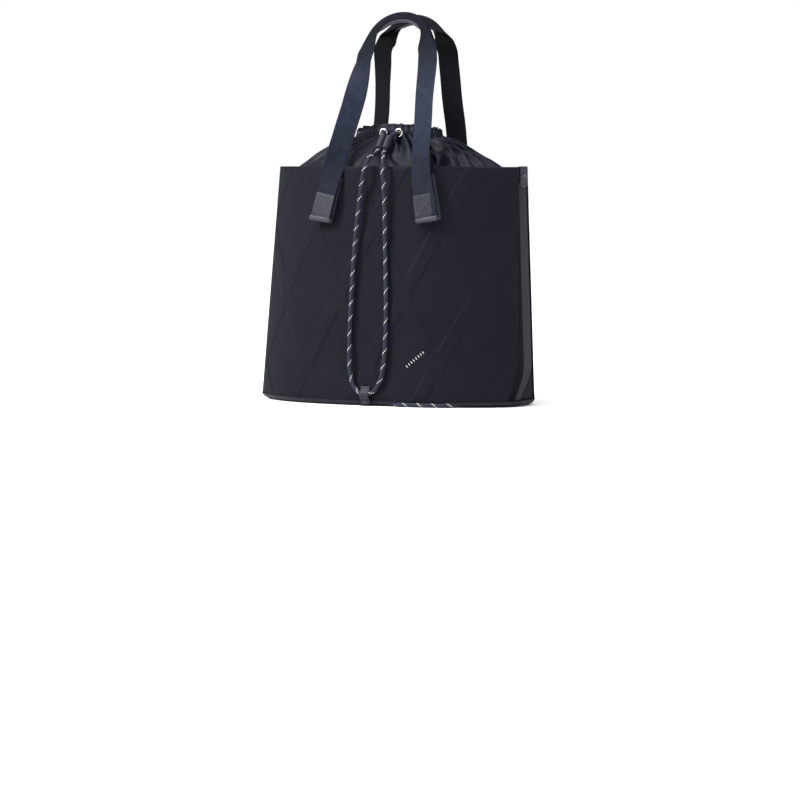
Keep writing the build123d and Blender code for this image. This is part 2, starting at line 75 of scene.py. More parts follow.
GUSSET_FOLD = (30.0, 24.0)
GUSSET_THICK = 1.2
BASE_INSET = 14.0
BASE_THICK = 3.0

COLLAR_FOOT = 420.0
COLLAR_TOP = box_mm("collar_hem")[0].z
HEM_TOP = box_mm("collar_hem")[1].z
MOUTH = (88.0, 25.0)
MOUTH_Y = 17.0
HEM_THICK = 12.0
EYELET_Z = 506.5
EYELET_BORE = 5.0

CORD_RADIUS = 3.9
BRAID_STRANDS = 8            # in each direction
BRAID_PITCH = 28.0
BRAID_RELIEF = 0.14          # share of the radius by which the strands stand out

BAR_X = 111.0
BAR_RADIUS = 4.8
BAR_LENGTH = 44.0
BAR_STANDOFF = 13.5
BAR_HEIGHT = (box_mm("front_bar_left")[0].z + box_mm("front_bar_left")[1].z) / 2
BAR_TILT = 8.0
STRAP_WIDTH = 41.0
STRAP_THICK = 1.7
SELVEDGE = 0.3               # depth of the small teeth along the woven edges
SELVEDGE_PITCH = 2.4
KNEE_RISE = 104.0
KNEE_X = 89.0
WAIST_X = 76.0
GRIP_X = 67.0
GRIP_Z = 657.5
# How far a leg leans to the right at some heights.
DRIFT = {
    (True, -1): ((450.0, 560.0, 700.0), (0.0, 3.0, 4.0)),
    (True, 1): ((450.0, 520.0, 700.0), (0.0, 4.0, 4.0)),
    (False, -1): ((450.0, 520.0, 600.0, 680.0, 720.0), (0.0, 3.0, -1.0, -7.0, -3.0)),
    (False, 1): ((450.0, 500.0, 600.0, 680.0, 720.0), (0.0, 4.0, 3.0, -1.0, -3.0)),
}
TOP_Y = {True: 35.0, False: 98.0}
PATCH_LENGTH = 44.0
PATCH_THICK = 1.8
ANCHOR_WIDTH = 43.5
ANCHOR_LENGTH = 84.0
ANCHOR_THICK = 2.6

# The drawcord's free loop, from the left eyelet down and back up to the right one, in metres.
DRAWCORD = [
    (-0.016, -0.0059, 0.5065), (-0.015, -0.013, 0.5066), (-0.0106, -0.019, 0.504),
    (-0.0097, -0.0235, 0.498), (-0.0114, -0.0296, 0.488), (-0.0143, -0.0415, 0.467),
    (-0.016, -0.066, 0.464), (-0.02, -0.0835, 0.438), (-0.027, -0.082, 0.398),
    (-0.034, -0.0855, 0.335), (-0.0375, -0.0928, 0.258), (-0.0385, -0.1025, 0.165),
    (-0.037, -0.1105, 0.092), (-0.032, -0.115, 0.05), (-0.019, -0.117, 0.027),
    (0.0, -0.1172, 0.02), (0.019, -0.117, 0.027), (0.033, -0.115, 0.051),
    (0.0375, -0.11, 0.097), (0.036, -0.102, 0.17), (0.03, -0.0923, 0.26),
    (0.025, -0.0852, 0.339), (0.022, -0.082, 0.4), (0.019, -0.0835, 0.439),
    (0.013, -0.066, 0.4645), (-0.0005, -0.0415, 0.467), (0.0026, -0.0296, 0.488),
    (0.0043, -0.0235, 0.498), (0.0086, -0.0185, 0.5045), (0.015, -0.013, 0.5066),
    (0.016, -0.0059, 0.5065),
]
SLIDER_CENTRE = Vector((-4.3, -29.3, 488.8))
SLIDER_AXIS = Vector((0.12, 0.5, 0.86)).normalized()
SLIDER_LENGTH = 27.0
SLIDER_PITCH = 14.0
SLIDER_TUBE = 6.7
SLIDER_BORE = 5.0


# --- Shape of the body --------------------------------------------------------------------------
def share(z):
    """0 at the rim, 1 at the base seam."""
    return (RIM_HEIGHT - z) / (RIM_HEIGHT - SEAM_HEIGHT)


def mix(pair, z):
    return pair[0] + (pair[1] - pair[0]) * share(z)


def half_width(z):
    return mix((RIM_WIDTH, BASE_WIDTH), z) / 2


def side_y(z, out):
    """Y of a panel's side edge; out is -1 for the front and 1 for the rear."""
    return mix(SIDE_Y, z) + out * mix(SIDE_DEPTH, z) / 2


def panel_y(front, x, z, inset=0.0):
    """Y of a panel's outer face, moved into the bag by inset."""
    out = way_out(front)
    bulge = mix(BULGE[front], z) * (1 - abs(x / half_width(z)) ** BULGE_POWER)
    return side_y(z, out) + out * (bulge - inset)


def panel_edge(front, side, z):
    """How far a panel reaches sideways; the front's lower right corner is drawn in."""
    reach = half_width(z)
    if front and side > 0:
        low = max(0.0, (CORNER_RISE - z) / CORNER_RISE)
        reach -= CORNER_PULL * low**1.7
    return reach


def smooth(value):
    value = min(1.0, max(0.0, value))
    return value * value * (3 - 2 * value)


def smooth_least(a, b, radius):
    """The smaller of two distances, rounded where they meet."""
    blend = max(0.0, radius - abs(a - b)) / radius
    return min(a, b) - blend * blend * radius / 4


def lattice(x, z):
    """Height of the raised bands of a plain diamond lattice."""
    lean = 1 / hypot(1, RELIEF_SLOPE)
    rise = RELIEF_SLOPE * (z - SEAM_HEIGHT - 60.0)
    gaps = []
    for way in (-1, 1):
        along = (x + way * rise) / RELIEF_PITCH
        gaps.append(abs(along - round(along)) * RELIEF_PITCH * lean)
    distance = smooth_least(gaps[0], gaps[1], RELIEF_ROUND)
    return RELIEF_HEIGHT * smooth((RELIEF_WIDTH / 2 + RELIEF_EDGE - distance) / (2 * RELIEF_EDGE))


def ripple(x, y, z, size, seed):
    """Smooth noise from about -1 to 1 whose bumps are about size apart."""
    return noise.noise(Vector((x / size + seed, y / size - seed, z / size + 2 * seed)))


# --- Names and signs ----------------------------------------------------------------------------
def face_name(front):
    return "front" if front else "rear"


def hand_name(side):
    return "left" if side < 0 else "right"


def way_out(front):
    """Sign of Y on the way out of the bag through a face."""
    return -1 if front else 1


# --- Mesh helpers -------------------------------------------------------------------------------
def placed(name, data):
    """A new object in the scene."""
    thing = bpy.data.objects.new(name, data)
    bpy.context.scene.collection.objects.link(thing)
    return thing


def new_piece(name, points, faces, materials, body, replaces=(), slots=None, uvs=None):
    """Mesh from points in millimetres that rides on a body and takes its finish from a slot."""
    mesh = bpy.data.meshes.new(name)
    mesh.from_pydata([tuple(c * MM for c in p) for p in points], [], faces)
    for material in materials:
        mesh.materials.append(material)
    if slots is not None:
        mesh.polygons.foreach_set("material_index", slots)
    mesh.polygons.foreach_set("use_smooth", [True] * len(mesh.polygons))
    if uvs is not None:
        layer = mesh.uv_layers.new(name="Weave")
        corners = np.empty(len(mesh.loops), int)
        mesh.loops.foreach_get("vertex_index", corners)
        layer.data.foreach_set("uv", np.asarray(uvs, float)[corners].ravel())
    mesh.update()
    piece = placed(name, mesh)
    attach(piece, body)
    if replaces:
        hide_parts(*replaces)
    return piece


def grid_faces(rows, columns, wrap_columns=False, wrap_rows=False):
    """Quads over a grid of points stored row by row."""
    faces = []
    for r in range(rows if wrap_rows else rows - 1):
        above = (r + 1) % rows
        for c in range(columns if wrap_columns else columns - 1):
            right = (c + 1) % columns
            faces.append(
                (r * columns + c, r * columns + right, above * columns + right, above * columns + c)
            )
    return faces


def flipped(faces):
    """The same faces, turned over."""
    return [face[::-1] for face in faces]


def shifted(faces, start):
    """The same faces over points that begin at start."""
    return [tuple(i + start for i in face) for face in faces]


def ring(centre, first, second, sides):
    """Points round a centre; first and second are the ring's two half axes."""
    turns = [tau * s / sides for s in range(sides)]
    return [centre + first * cos(turn) + second * sin(turn) for turn in turns]


def end_caps(rows, columns):
    """Faces that close both ends of a tube."""
    last = (rows - 1) * columns
    return [tuple(range(columns))[::-1], tuple(range(last, last + columns))]


def edge_samples(length, edge, step):
    """Places from 0 to length, closer together near both ends, where the edge is rounded."""
    near = [0.0, 0.12 * edge, 0.45 * edge, edge]
    count = max(1, ceil((length - 2 * edge) / step))
    middle = [edge + (length - 2 * edge) * i / count for i in range(1, count)]
    return near + middle + [length - value for value in reversed(near)]


def rounding(gap, edge):
    """Share of the full thickness at a distance from the edge."""
    left = max(0.0, 1 - gap / edge)
    return sqrt(max(0.0, 1 - left * left))


def slab(length, width, thick, edge, step, place):
    """Points, faces and weave coordinates of a sheet with rounded edges.

    place(u, v, w) gives the point at u along, v across from the middle and w off the middle face.
    """
    us = edge_samples(length, edge, step[0])
    vs = edge_samples(width, edge, step[1])
    rows, columns = len(us), len(vs)
    points, uvs, index = [], [], {}
    for face in (1, -1):
        for r, u in enumerate(us):
            for c, v in enumerate(vs):
                border = r in (0, rows - 1) or c in (0, columns - 1)
                if border and face < 0:
                    index[(face, r, c)] = index[(1, r, c)]
                    continue
                gap = min(u, length - u, v, width - v)
                w = face * thick / 2 * rounding(gap, edge)
                index[(face, r, c)] = len(points)
                points.append(place(u, v - width / 2, w))
                uvs.append((u * MM, (v - width / 2) * MM))
    faces = []
    for face in (1, -1):
        for r in range(rows - 1):
            for c in range(columns - 1):
                quad = [(r, c), (r, c + 1), (r + 1, c + 1), (r + 1, c)]
                faces.append(tuple(index[(face, *corner)] for corner in quad[::face]))
    return points, faces, uvs


def back_slots(faces):
    """Second material for the back half of a slab's faces."""
    half = len(faces) // 2
    return [0] * half + [1] * half


def tube_frames(path):
    """Two cross directions at each point of a path, turning as little as possible."""
    tangents = np.gradient(path, axis=0)
    tangents /= np.linalg.norm(tangents, axis=1)[:, None]
    across = np.cross(tangents[0], (0.0, 1.0, 0.3))
    across /= np.linalg.norm(across)
    firsts = []
    for tangent in tangents:
        across = across - tangent * np.dot(across, tangent)
        across /= np.linalg.norm(across)
        firsts.append(across)
    firsts = np.array(firsts)
    return firsts, np.cross(tangents, firsts)


def even(path, step):
    """Points at even steps along a path."""
    path = np.asarray(path, float)
    lengths = np.r_[0, np.cumsum(np.linalg.norm(np.diff(path, axis=0), axis=1))]
    count = max(2, int(round(lengths[-1] / step)) + 1)
    places = np.linspace(0, lengths[-1], count)
    return np.stack([np.interp(places, lengths, path[:, i]) for i in range(3)], axis=1)


def run_of(points):
    """Length of the line through points."""
    return float(np.linalg.norm(np.diff(np.asarray(points, float), axis=0), axis=1).sum())


def curve_points(name, controls, steps):
    """Points, in millimetres, along a smooth NURBS curve with these control points in metres."""
    curve = bpy.data.curves.new(name, "CURVE")
    curve.dimensions = "3D"
    curve.resolution_u = steps
    spline = curve.splines.new("NURBS")
    spline.points.add(len(controls) - 1)
    for point, place in zip(spline.points, controls):
        point.co = (*place, 1.0)
    spline.order_u = 3
    spline.use_endpoint_u = True
    holder = bpy.data.objects.new(name, curve)
    mesh = bpy.data.meshes.new_from_object(holder)
    path = np.array([v.co for v in mesh.vertices]) / MM
    bpy.data.objects.remove(holder)
    bpy.data.curves.remove(curve)
    bpy.data.meshes.remove(mesh)
    return path


def controls_mm(points):
    return [tuple(c * MM for c in p) for p in points]


# --- Materials ----------------------------------------------------------------------------------
class Nodes:
    """A material's node tree, with short calls for the nodes used here."""

    def __init__(self, name, colour, roughness, sockets):
        self.material = bpy.data.materials.new(name)
        self.material.use_nodes = True
        self.tree = self.material.node_tree
        self.shader = self.tree.nodes["Principled BSDF"]
        self.shader.inputs["Base Color"].default_value = (*colour, 1)
        self.shader.inputs["Roughness"].default_value = roughness
        for socket, value in sockets.items():
            self.shader.inputs[socket].default_value = value

    def add(self, kind, **values):
        node = self.tree.nodes.new(kind)
        for key, value in values.items():
            if key in node.inputs:
                node.inputs[key].default_value = value
            else:
                setattr(node, key, value)
        return node

    def link(self, output, socket):
        self.tree.links.new(output, socket)

    def coordinates(self, weave):
        if weave:
            return self.add("ShaderNodeUVMap", uv_map="Weave").outputs["UV"]
        return self.add("ShaderNodeTexCoord").outputs["Object"]

    def noise(self, where, scale, detail=3.0, roughness=0.55):
        node = self.add("ShaderNodeTexNoise", Scale=scale, Detail=detail, Roughness=roughness)
        self.link(where, node.inputs["Vector"])
        return node.outputs["Fac"]

    def waves(self, where, direction, period, distortion=0.0):
        """Bands of one period, in metres, across a direction."""
        node = self.add("ShaderNodeTexWave", bands_direction=direction, Scale=tau / (20 * period),
                        Distortion=distortion)
        self.link(where, node.inputs["Vector"])
        return node.outputs["Fac"]

    def cells(self, where, scale):
        node = self.add("ShaderNodeTexVoronoi", Scale=scale)
        self.link(where, node.inputs["Vector"])
        return node.outputs["Distance"]

    def math(self, operation, a, b):
        node = self.add("ShaderNodeMath", operation=operation)
        for socket, value in zip(node.inputs, (a, b)):
            if isinstance(value, (int, float)):
                socket.default_value = value
            else:
                self.link(value, socket)
        return node.outputs["Value"]

    def blend(self, first, share_first, second, share_second):
        """Weighted sum of two values."""
        return self.math("ADD", self.math("MULTIPLY", first, share_first),
                         self.math("MULTIPLY", second, share_second))

    def span(self, value, low, high, start=0.0, end=1.0, **settings):
        """Value, which goes from start to end, turned into one that goes from low to high."""
        node = self.add("ShaderNodeMapRange", **settings)
        for socket, limit in (("From Min", start), ("From Max", end), ("To Min", low), ("To Max", high)):
            node.inputs[socket].default_value = limit
        self.link(value, node.inputs["Value"])
        return node.outputs["Result"]

    def shade(self, value, dark, light):
        """Base colour that runs from dark to light with value."""
        node = self.add("ShaderNodeMix", data_type="RGBA")
        colours = [socket for socket in node.inputs if socket.type == "RGBA"]
        colours[0].default_value = (*dark, 1)
        colours[1].default_value = (*light, 1)
        self.link(value, node.inputs["Factor"])
        result = [socket for socket in node.outputs if socket.type == "RGBA"][0]
        self.link(result, self.shader.inputs["Base Color"])

    def rough(self, value, low, high):
        self.link(self.span(value, low, high), self.shader.inputs["Roughness"])

    def bump(self, *layers):
        """Layers of (height, strength, distance in metres), the coarsest first."""
        previous = None
        for height, strength, distance in layers:
            node = self.add("ShaderNodeBump", Strength=strength, Distance=distance)
            self.link(height, node.inputs["Height"])
            if previous:
                self.link(previous, node.inputs["Normal"])
            previous = node.outputs["Normal"]
        self.link(previous, self.shader.inputs["Normal"])


def tinted(colour, factor):
    return tuple(min(1.0, c * factor) for c in colour)


def woven_fabric(name, colour, roughness, period):
    """Fine woven nylon: a plain weave, slight colour variation and soft creases."""
    nodes = Nodes(name, colour, roughness, {"Specular IOR Level": 0.055})
    where = nodes.coordinates(False)
    warp = nodes.waves(where, "X", period)
    weft = nodes.waves(where, "Z", period)
    depth = nodes.waves(where, "Y", period)
    threads = nodes.math("MULTIPLY", nodes.math("MAXIMUM", warp, depth), weft)
    cloudy = nodes.noise(where, 9.0, 4.0)
    mottled = nodes.noise(where, 160.0, 3.0)
    tone = nodes.blend(cloudy, 0.55, mottled, 0.45)
    nodes.shade(tone, tinted(colour, 0.75), tinted(colour, 1.25))
    nodes.rough(nodes.blend(cloudy, 0.6, threads, 0.4), roughness - 0.08, roughness + 0.1)
    nodes.bump((cloudy, 0.25, 0.004), (mottled, 0.12, 0.0006), (threads, 0.5, 0.00012))
    return nodes.material


def satin_fabric(name, colour):
    """Thin smooth lining satin with small creases."""
    nodes = Nodes(name, colour, 0.42, {"Specular IOR Level": 0.085})
    where = nodes.coordinates(False)
    creases = nodes.noise(where, 34.0, 5.0, 0.6)
    fine = nodes.noise(where, 900.0, 2.0)
    threads = nodes.math("MULTIPLY", nodes.waves(where, "X", 0.0006), nodes.waves(where, "Z", 0.0006))
    nodes.shade(creases, tinted(colour, 0.75), tinted(colour, 1.3))
    nodes.rough(creases, 0.34, 0.52)
    nodes.bump((creases, 0.35, 0.004), (fine, 0.1, 0.0002), (threads, 0.25, 0.0001))
    return nodes.material


# Painted sheen band on the webbing: from one distance to another off the strap's middle, in metres, the
# tone runs between two shares of the full colour, dark at the grip, full along the legs and darker again
# near the bars.
SHEEN_RISE_FROM_GRIP = (0.06, 0.2, 0.2, 1.0)
SHEEN_FALL_TO_BARS = (0.23, 0.36, 1.0, 0.55)


def webbing(name, colour, shine):
    """Satin webbing: dense fine ribs across and a twill along, with a painted sheen band on the legs that
    leaves the grip and the ends near the bars darker.
    """
    nodes = Nodes(name, colour, 0.5, {"Specular IOR Level": shine})
    where = nodes.coordinates(True)
    ribs = nodes.waves(where, "X", 0.0011, 0.4)
    yarns = nodes.waves(where, "Y", 0.0009, 0.3)
    twill = nodes.waves(where, "DIAGONAL", 0.0016)
    threads = nodes.math("MULTIPLY", ribs, nodes.math("ADD", nodes.math("MULTIPLY", yarns, 0.6), 0.4))
    uneven = nodes.noise(where, 60.0, 4.0)
    fuzz = nodes.noise(where, 1800.0, 2.0)
    tone = nodes.blend(uneven, 0.5, threads, 0.5)
    split = nodes.add("ShaderNodeSeparateXYZ")
    nodes.link(where, split.inputs["Vector"])
    from_middle = nodes.math("ABSOLUTE", split.outputs["X"], 0)
    # painted sheen: the tone is cut down at the grip and near the bars and left full along the legs between
    for start, end, low, high in (SHEEN_RISE_FROM_GRIP, SHEEN_FALL_TO_BARS):
        wear_and_sheen = nodes.span(from_middle, low, high, start, end, interpolation_type="SMOOTHSTEP")
        tone = nodes.math("MULTIPLY", tone, wear_and_sheen)
    nodes.shade(tone, tinted(colour, 0.0), tinted(colour, 2.0))
    nodes.rough(nodes.blend(uneven, 0.5, twill, 0.5), 0.4, 0.62)
    nodes.bump((uneven, 0.12, 0.002), (twill, 0.2, 0.0002), (threads, 0.7, 0.0003), (fuzz, 0.15, 0.0001))
    return nodes.material


def leather(name, colour, roughness=0.48):
    """Fine pebbled leather with worn, paler high spots."""
    nodes = Nodes(name, colour, roughness, {"Specular IOR Level": 0.22})
    where = nodes.coordinates(False)
    pebbles = nodes.cells(where, 900.0)
    wrinkles = nodes.noise(where, 420.0, 5.0, 0.65)
    wear_and_sheen = nodes.noise(where, 70.0, 3.0)
    tone = nodes.blend(wear_and_sheen, 0.6, pebbles, 0.5)
    nodes.shade(tone, tinted(colour, 0.7), tinted(colour, 1.45))
    nodes.rough(wrinkles, roughness - 0.1, roughness + 0.14)
    nodes.bump((wear_and_sheen, 0.15, 0.001), (pebbles, 0.5, 0.0004), (wrinkles, 0.3, 0.0003))
    return nodes.material


def yarn(name, colour, roughness=0.72):
    """Twisted yarn, for braids and stitches."""
    nodes = Nodes(name, colour, roughness, {"Specular IOR Level": 0.15})
    where = nodes.coordinates(False)
    fibres = nodes.noise(where, 2600.0, 3.0, 0.7)
    lumps = nodes.noise(where, 300.0, 2.0)
    nodes.shade(nodes.math("MULTIPLY", nodes.math("ADD", fibres, lumps), 0.5),
                tinted(colour, 0.6), tinted(colour, 1.4))
    nodes.rough(fibres, roughness - 0.08, roughness + 0.1)
    nodes.bump((fibres, 0.5, 0.0002))
    return nodes.material


def metal(name, colour, roughness):
    """Polished plated metal with faint wear."""
    nodes = Nodes(name, colour, roughness, {"Metallic": 1.0})
    where = nodes.coordinates(False)
    wear = nodes.noise(where, 240.0, 5.0, 0.6)
    scratches = nodes.noise(where, 1500.0, 2.0)
    nodes.shade(wear, tinted(colour, 0.86), tinted(colour, 1.06))
    nodes.rough(wear, roughness - 0.05, roughness + 0.1)
    nodes.bump((scratches, 0.06, 0.0001))
    return nodes.material


def enamel(name, colour):
    """Painted snap cap."""
    nodes = Nodes(name, colour, 0.36, {"Metallic": 0.25, "Coat Weight": 0.3, "Coat Roughness": 0.2})
    where = nodes.coordinates(False)
    wear = nodes.noise(where, 500.0, 4.0)
    nodes.shade(wear, tinted(colour, 0.8), tinted(colour, 1.4))
    nodes.rough(wear, 0.28, 0.46)
    nodes.bump((wear, 0.08, 0.0001))
    return nodes.material


def pale_floor():
    nodes = Nodes("pale_floor", (0.9, 0.9, 0.9), 0.8, {"Specular IOR Level": 0.2})
    where = nodes.coordinates(False)
    cloudy = nodes.noise(where, 1.5, 3.0)
    nodes.shade(cloudy, (0.89, 0.89, 0.89), (0.91, 0.91, 0.91))
    return nodes.material


PANEL = woven_fabric("panel_nylon", (0.0072, 0.0075, 0.0118), 0.56, 0.0008)
GUSSET = woven_fabric("gusset_nylon", (0.036, 0.037, 0.045), 0.5, 0.0008)
BASE = woven_fabric("base_nylon", (0.02, 0.021, 0.028), 0.45, 0.001)
COLLAR = satin_fabric("collar_satin", (0.0062, 0.0072, 0.0135))
LINING = satin_fabric("lining_satin", (0.011, 0.012, 0.02))
WEBBING = webbing("navy_webbing", (0.0195, 0.024, 0.0435), 0.06)
# Darker copy of the webbing for each strap's inner face: painted shade, where that face sits out of the
# light.
WEBBING_SHADED_FACE = webbing("navy_webbing_painted_shade", (0.0045, 0.0048, 0.0075), 0.04)
LEATHER = leather("navy_leather", (0.0155, 0.017, 0.0245))
LEATHER_PALE = leather("grip_leather", (0.032, 0.034, 0.046), 0.42)
CORD = yarn("navy_yarn", (0.019, 0.0215, 0.036))
FLECK = yarn("white_yarn", (0.55, 0.55, 0.53), 0.6)
THREAD = yarn("navy_thread", (0.014, 0.0155, 0.024), 0.55)
THREAD_PALE = yarn("grey_thread", (0.08, 0.084, 0.1), 0.55)
SILVER = metal("silver_plating", (0.82, 0.82, 0.8), 0.16)
SNAP = enamel("navy_snap", (0.02, 0.022, 0.03))


# --- Camera, lights, floor ----------------------------------------------------------------------
CAMERA_PLACE = (2.705, -5.390, 0.440)
CAMERA_TURN = 26.53
CAMERA_DOWN = 4.14
CAMERA_LENS = 144.0
MIDDLE = Vector((0.0, 0.0, 0.35))
ROOM_LIGHT = 0.3             # strength of the plain surroundings as a light
KEY = ((-3.1, -2.6, 3.2), 1.6, 300.0)    # place, size in metres, power in watts
FILL = ((3.6, -1.2, 1.6), 2.2, 55.0)
OVERHEAD = ((-0.4, -0.6, 4.0), 3.7)      # broad light that keeps the floor pale: place, strength
FLOOR_REACH = 30.0
FLOOR_DROP = 0.0002          # keeps the floor clear of the base


def add_camera():
    data = bpy.data.cameras.new("camera")
    data.lens = CAMERA_LENS
    data.sensor_width = 36.0
    data.clip_end = 200.0
    camera = placed("camera", data)
    camera.location = CAMERA_PLACE
    camera.rotation_euler = (radians(90 - CAMERA_DOWN), 0, radians(CAMERA_TURN))
    bpy.context.scene.camera = camera
    bpy.context.scene.view_settings.view_transform = "Standard"


def add_light(name, kind, place, power, **settings):
    """A light aimed at the middle of the bag."""
    data = bpy.data.lights.new(name, kind)
    for key, value in {"energy": power, **settings}.items():
        setattr(data, key, value)
    light = placed(name, data)
    light.location = place
    light.rotation_euler = (MIDDLE - Vector(place)).to_track_quat("-Z", "Y").to_euler()


def add_studio():
    world = bpy.data.worlds.new("studio")
    bpy.context.scene.world = world
    world.use_nodes = True
    tree = world.node_tree
    background = tree.nodes["Background"]
    background.inputs["Color"].default_value = (1, 1, 1, 1)
    path = tree.nodes.new("ShaderNodeLightPath")
    strength = tree.nodes.new("ShaderNodeMapRange")
    strength.inputs["To Min"].default_value = ROOM_LIGHT
    strength.inputs["To Max"].default_value = 1.0
    tree.links.new(path.outputs["Is Camera Ray"], strength.inputs["Value"])
    tree.links.new(strength.outputs["Result"], background.inputs["Strength"])
    for name, (place, size, power) in (("key", KEY), ("fill", FILL)):
        add_light(name, "AREA", place, power, shape="DISK", size=size)
    add_light("overhead", "SUN", *OVERHEAD, angle=radians(50))
    corners = [(x * FLOOR_REACH, y * FLOOR_REACH, 0) for x, y in ((-1, -1), (1, -1), (1, 1), (-1, 1))]
    mesh = bpy.data.meshes.new("floor")
    mesh.from_pydata(corners, [], [(0, 1, 2, 3)])
    mesh.materials.append(pale_floor())
    floor = placed("floor", mesh)
    floor.location.z = -FLOOR_DROP


# --- Cords --------------------------------------------------------------------------------------
def braided_tube(name, path, radius, body, replaces):
    """Braid of strands in both directions along a path, with one pale strand."""
    sides = 4 * BRAID_STRANDS
    step = BRAID_PITCH / sides
    line = even(path, step)
    first, second = tube_frames(line)
    spoke = np.arange(sides)
    run = np.arange(len(line))
    a = (run[:, None] + spoke[None, :]) / 4.0
    b = (run[:, None] - spoke[None, :]) / 4.0
    across_a = 2 * (a % 1.0) - 1
    across_b = 2 * (b % 1.0) - 1
    over = (np.floor(a) + np.floor(b)) % 2 == 0
    high_a = (1 - 0.8 * across_a**2) * (1 - 0.35 * across_b**2)
    high_b = (1 - 0.8 * across_b**2) * (1 - 0.35 * across_a**2)
    high = np.where(over, high_a, high_b)
    reach = radius * (1 - BRAID_RELIEF + BRAID_RELIEF * high)
    angle = tau * spoke / sides
    points = line[:, None, :] + reach[:, :, None] * (
        np.cos(angle)[None, :, None] * first[:, None, :] + np.sin(angle)[None, :, None] * second[:, None, :]
    )
    middle_a = (run[:-1, None] + spoke[None, :] + 0.9) / 4.0
    middle_b = (run[:-1, None] - spoke[None, :] + 0.1) / 4.0
    pale = (np.floor(middle_a) + np.floor(middle_b)) % 2 == 1
    pale &= np.floor(middle_b) % BRAID_STRANDS == 0
    faces = grid_faces(len(line), sides, wrap_columns=True)
    faces += end_caps(len(line), sides)
    slots = list(pale.astype(int).ravel()) + [0, 0]
    return new_piece(name, points.reshape(-1, 3), faces, [CORD, FLECK], body, replaces, slots)


def make_drawcord():
    path = curve_points("drawcord_route", DRAWCORD, 12)
    cord = braided_tube("drawcord_braid", path, CORD_RADIUS, "root", ["drawcord"])
    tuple(DRAWCORD[0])


HIDDEN_GAP = 0.18            # angle left free on each side of the front's middle, for the eyelets


def make_hidden_cord():
    """The stretch of the drawcord inside the hem, from one eyelet round the back to the other."""
    a, b = MOUTH[0] - HEM_THICK / 2, MOUTH[1] - HEM_THICK / 2
    turns = np.linspace(-pi / 2 + HIDDEN_GAP, 3 * pi / 2 - HIDDEN_GAP, 160)
    path = [(a * cos(t), MOUTH_Y + b * sin(t), EYELET_Z) for t in turns]
    braided_tube("hem_cord_braid", path, CORD_RADIUS - 0.2, "root", ["hem_cord"])


TUCK_IN = 11.0               # how far the base cord's ends turn in under the bag


def make_base_cord():
    """The rope under the front seam, right of the middle."""
    low, high = box_mm("base_cord")
    rest = CORD_RADIUS + 0.2
    points = []
    for x in np.linspace(low.x + 5.0, high.x - 5.0, 8):
        points.append((x, panel_y(True, x, SEAM_HEIGHT) - 1.2, rest))
    points[0] = (low.x + 3.0, points[0][1] + TUCK_IN, rest + 1.0)
    points[-1] = (high.x - 3.0, points[-1][1] + TUCK_IN, rest + 1.0)
    path = curve_points("base_cord_route", controls_mm(points), 12)
    braided_tube("base_cord_braid", path, CORD_RADIUS, "root", ["base_cord"])


# --- Body ---------------------------------------------------------------------------------------
PANEL_STEP = 1.95
INNER_ROWS = 26
RIM_SAG = 3.0
FACING_THICK = 1.2
FACING_DROP = 1.4            # from the rim down to the facing


def rim_sag(x, z):
    """The rim sinks a little towards the right side."""
    return RIM_SAG * smooth((x - 130.0) / 120.0) * max(0.0, z / RIM_HEIGHT) ** 5


def panel_point(front, x, z, depth):
    """Point of a panel, depth behind its outer face, with the cloth's slight waves."""
    out = way_out(front)
    seed = 3.0 if front else 11.0
    edge = smooth(min(half_width(z) - abs(x), z - SEAM_HEIGHT, 60.0) / 60.0)
    upper = smooth((z - RIM_HEIGHT + 110.0) / 110.0)
    wave = 2.2 * ripple(x, 0.0, z, 130.0, seed) + 0.7 * ripple(x, 0.0, z, 38.0, seed)
    wave = wave * edge + 1.6 * upper * ripple(x, 0.0, z * 0.25, 46.0, seed + 5)
    y = panel_y(front, x, z, depth) + out * (wave - 1.0) * edge
    return x, y, z - rim_sag(x, z)


def cloth_width(front, z):
    """Width of a panel's cloth at a height, along its bulge."""
    across = np.linspace(-panel_edge(front, -1, z), panel_edge(front, 1, z), 60)
    return run_of([(x, panel_y(front, x, z)) for x in across])


def make_panel(front):
    """Outer fabric with its raised bands, a rolled rim and a plain inner face."""
    name = face_name(front)
    out = way_out(front)
    columns = int(BASE_WIDTH / PANEL_STEP)
    outer_rows = int((RIM_HEIGHT - SEAM_HEIGHT) / PANEL_STEP)
    rim = PANEL_THICK / 2
    profile = [(SEAM_HEIGHT + (RIM_HEIGHT - rim - SEAM_HEIGHT) * i / outer_rows, 0.0, 1.0)
               for i in range(outer_rows + 1)]
    for step in range(1, 6):
        turn = pi * step / 6
        profile.append((RIM_HEIGHT - rim + rim * sin(turn), rim * (1 - cos(turn)), 0.0))
    for i in range(INNER_ROWS + 1):
        height = RIM_HEIGHT - rim - (RIM_HEIGHT - rim - SEAM_HEIGHT) * i / INNER_ROWS
        profile.append((height, PANEL_THICK, 0.0))
    points = []
    for z, depth, relief in profile:
        left, right = -panel_edge(front, -1, z), panel_edge(front, 1, z)
        for c in range(columns + 1):
            x = left + (right - left) * c / columns
            px, py, pz = panel_point(front, x, z, depth)
            if relief:
                border = smooth(min(x - left, right - x, RIM_HEIGHT - z, z - SEAM_HEIGHT) / 5.0)
                py += out * lattice(x, z) * border
            points.append((px, py, pz))
    rows = len(profile)
    faces = grid_faces(rows, columns + 1, wrap_rows=True)
    for end in (0, columns):
        cap = tuple(r * (columns + 1) + end for r in range(rows))
        faces.append(cap if end else cap[::-1])
    if not front:
        faces = flipped(faces)
    panel = new_piece(f"{name}_panel_cloth", points, faces, [PANEL], "root",
                      [f"{name}_panel"])
    height = RIM_HEIGHT - SEAM_HEIGHT
    widths = [cloth_width(front, z) for z in (RIM_HEIGHT, SEAM_HEIGHT)]


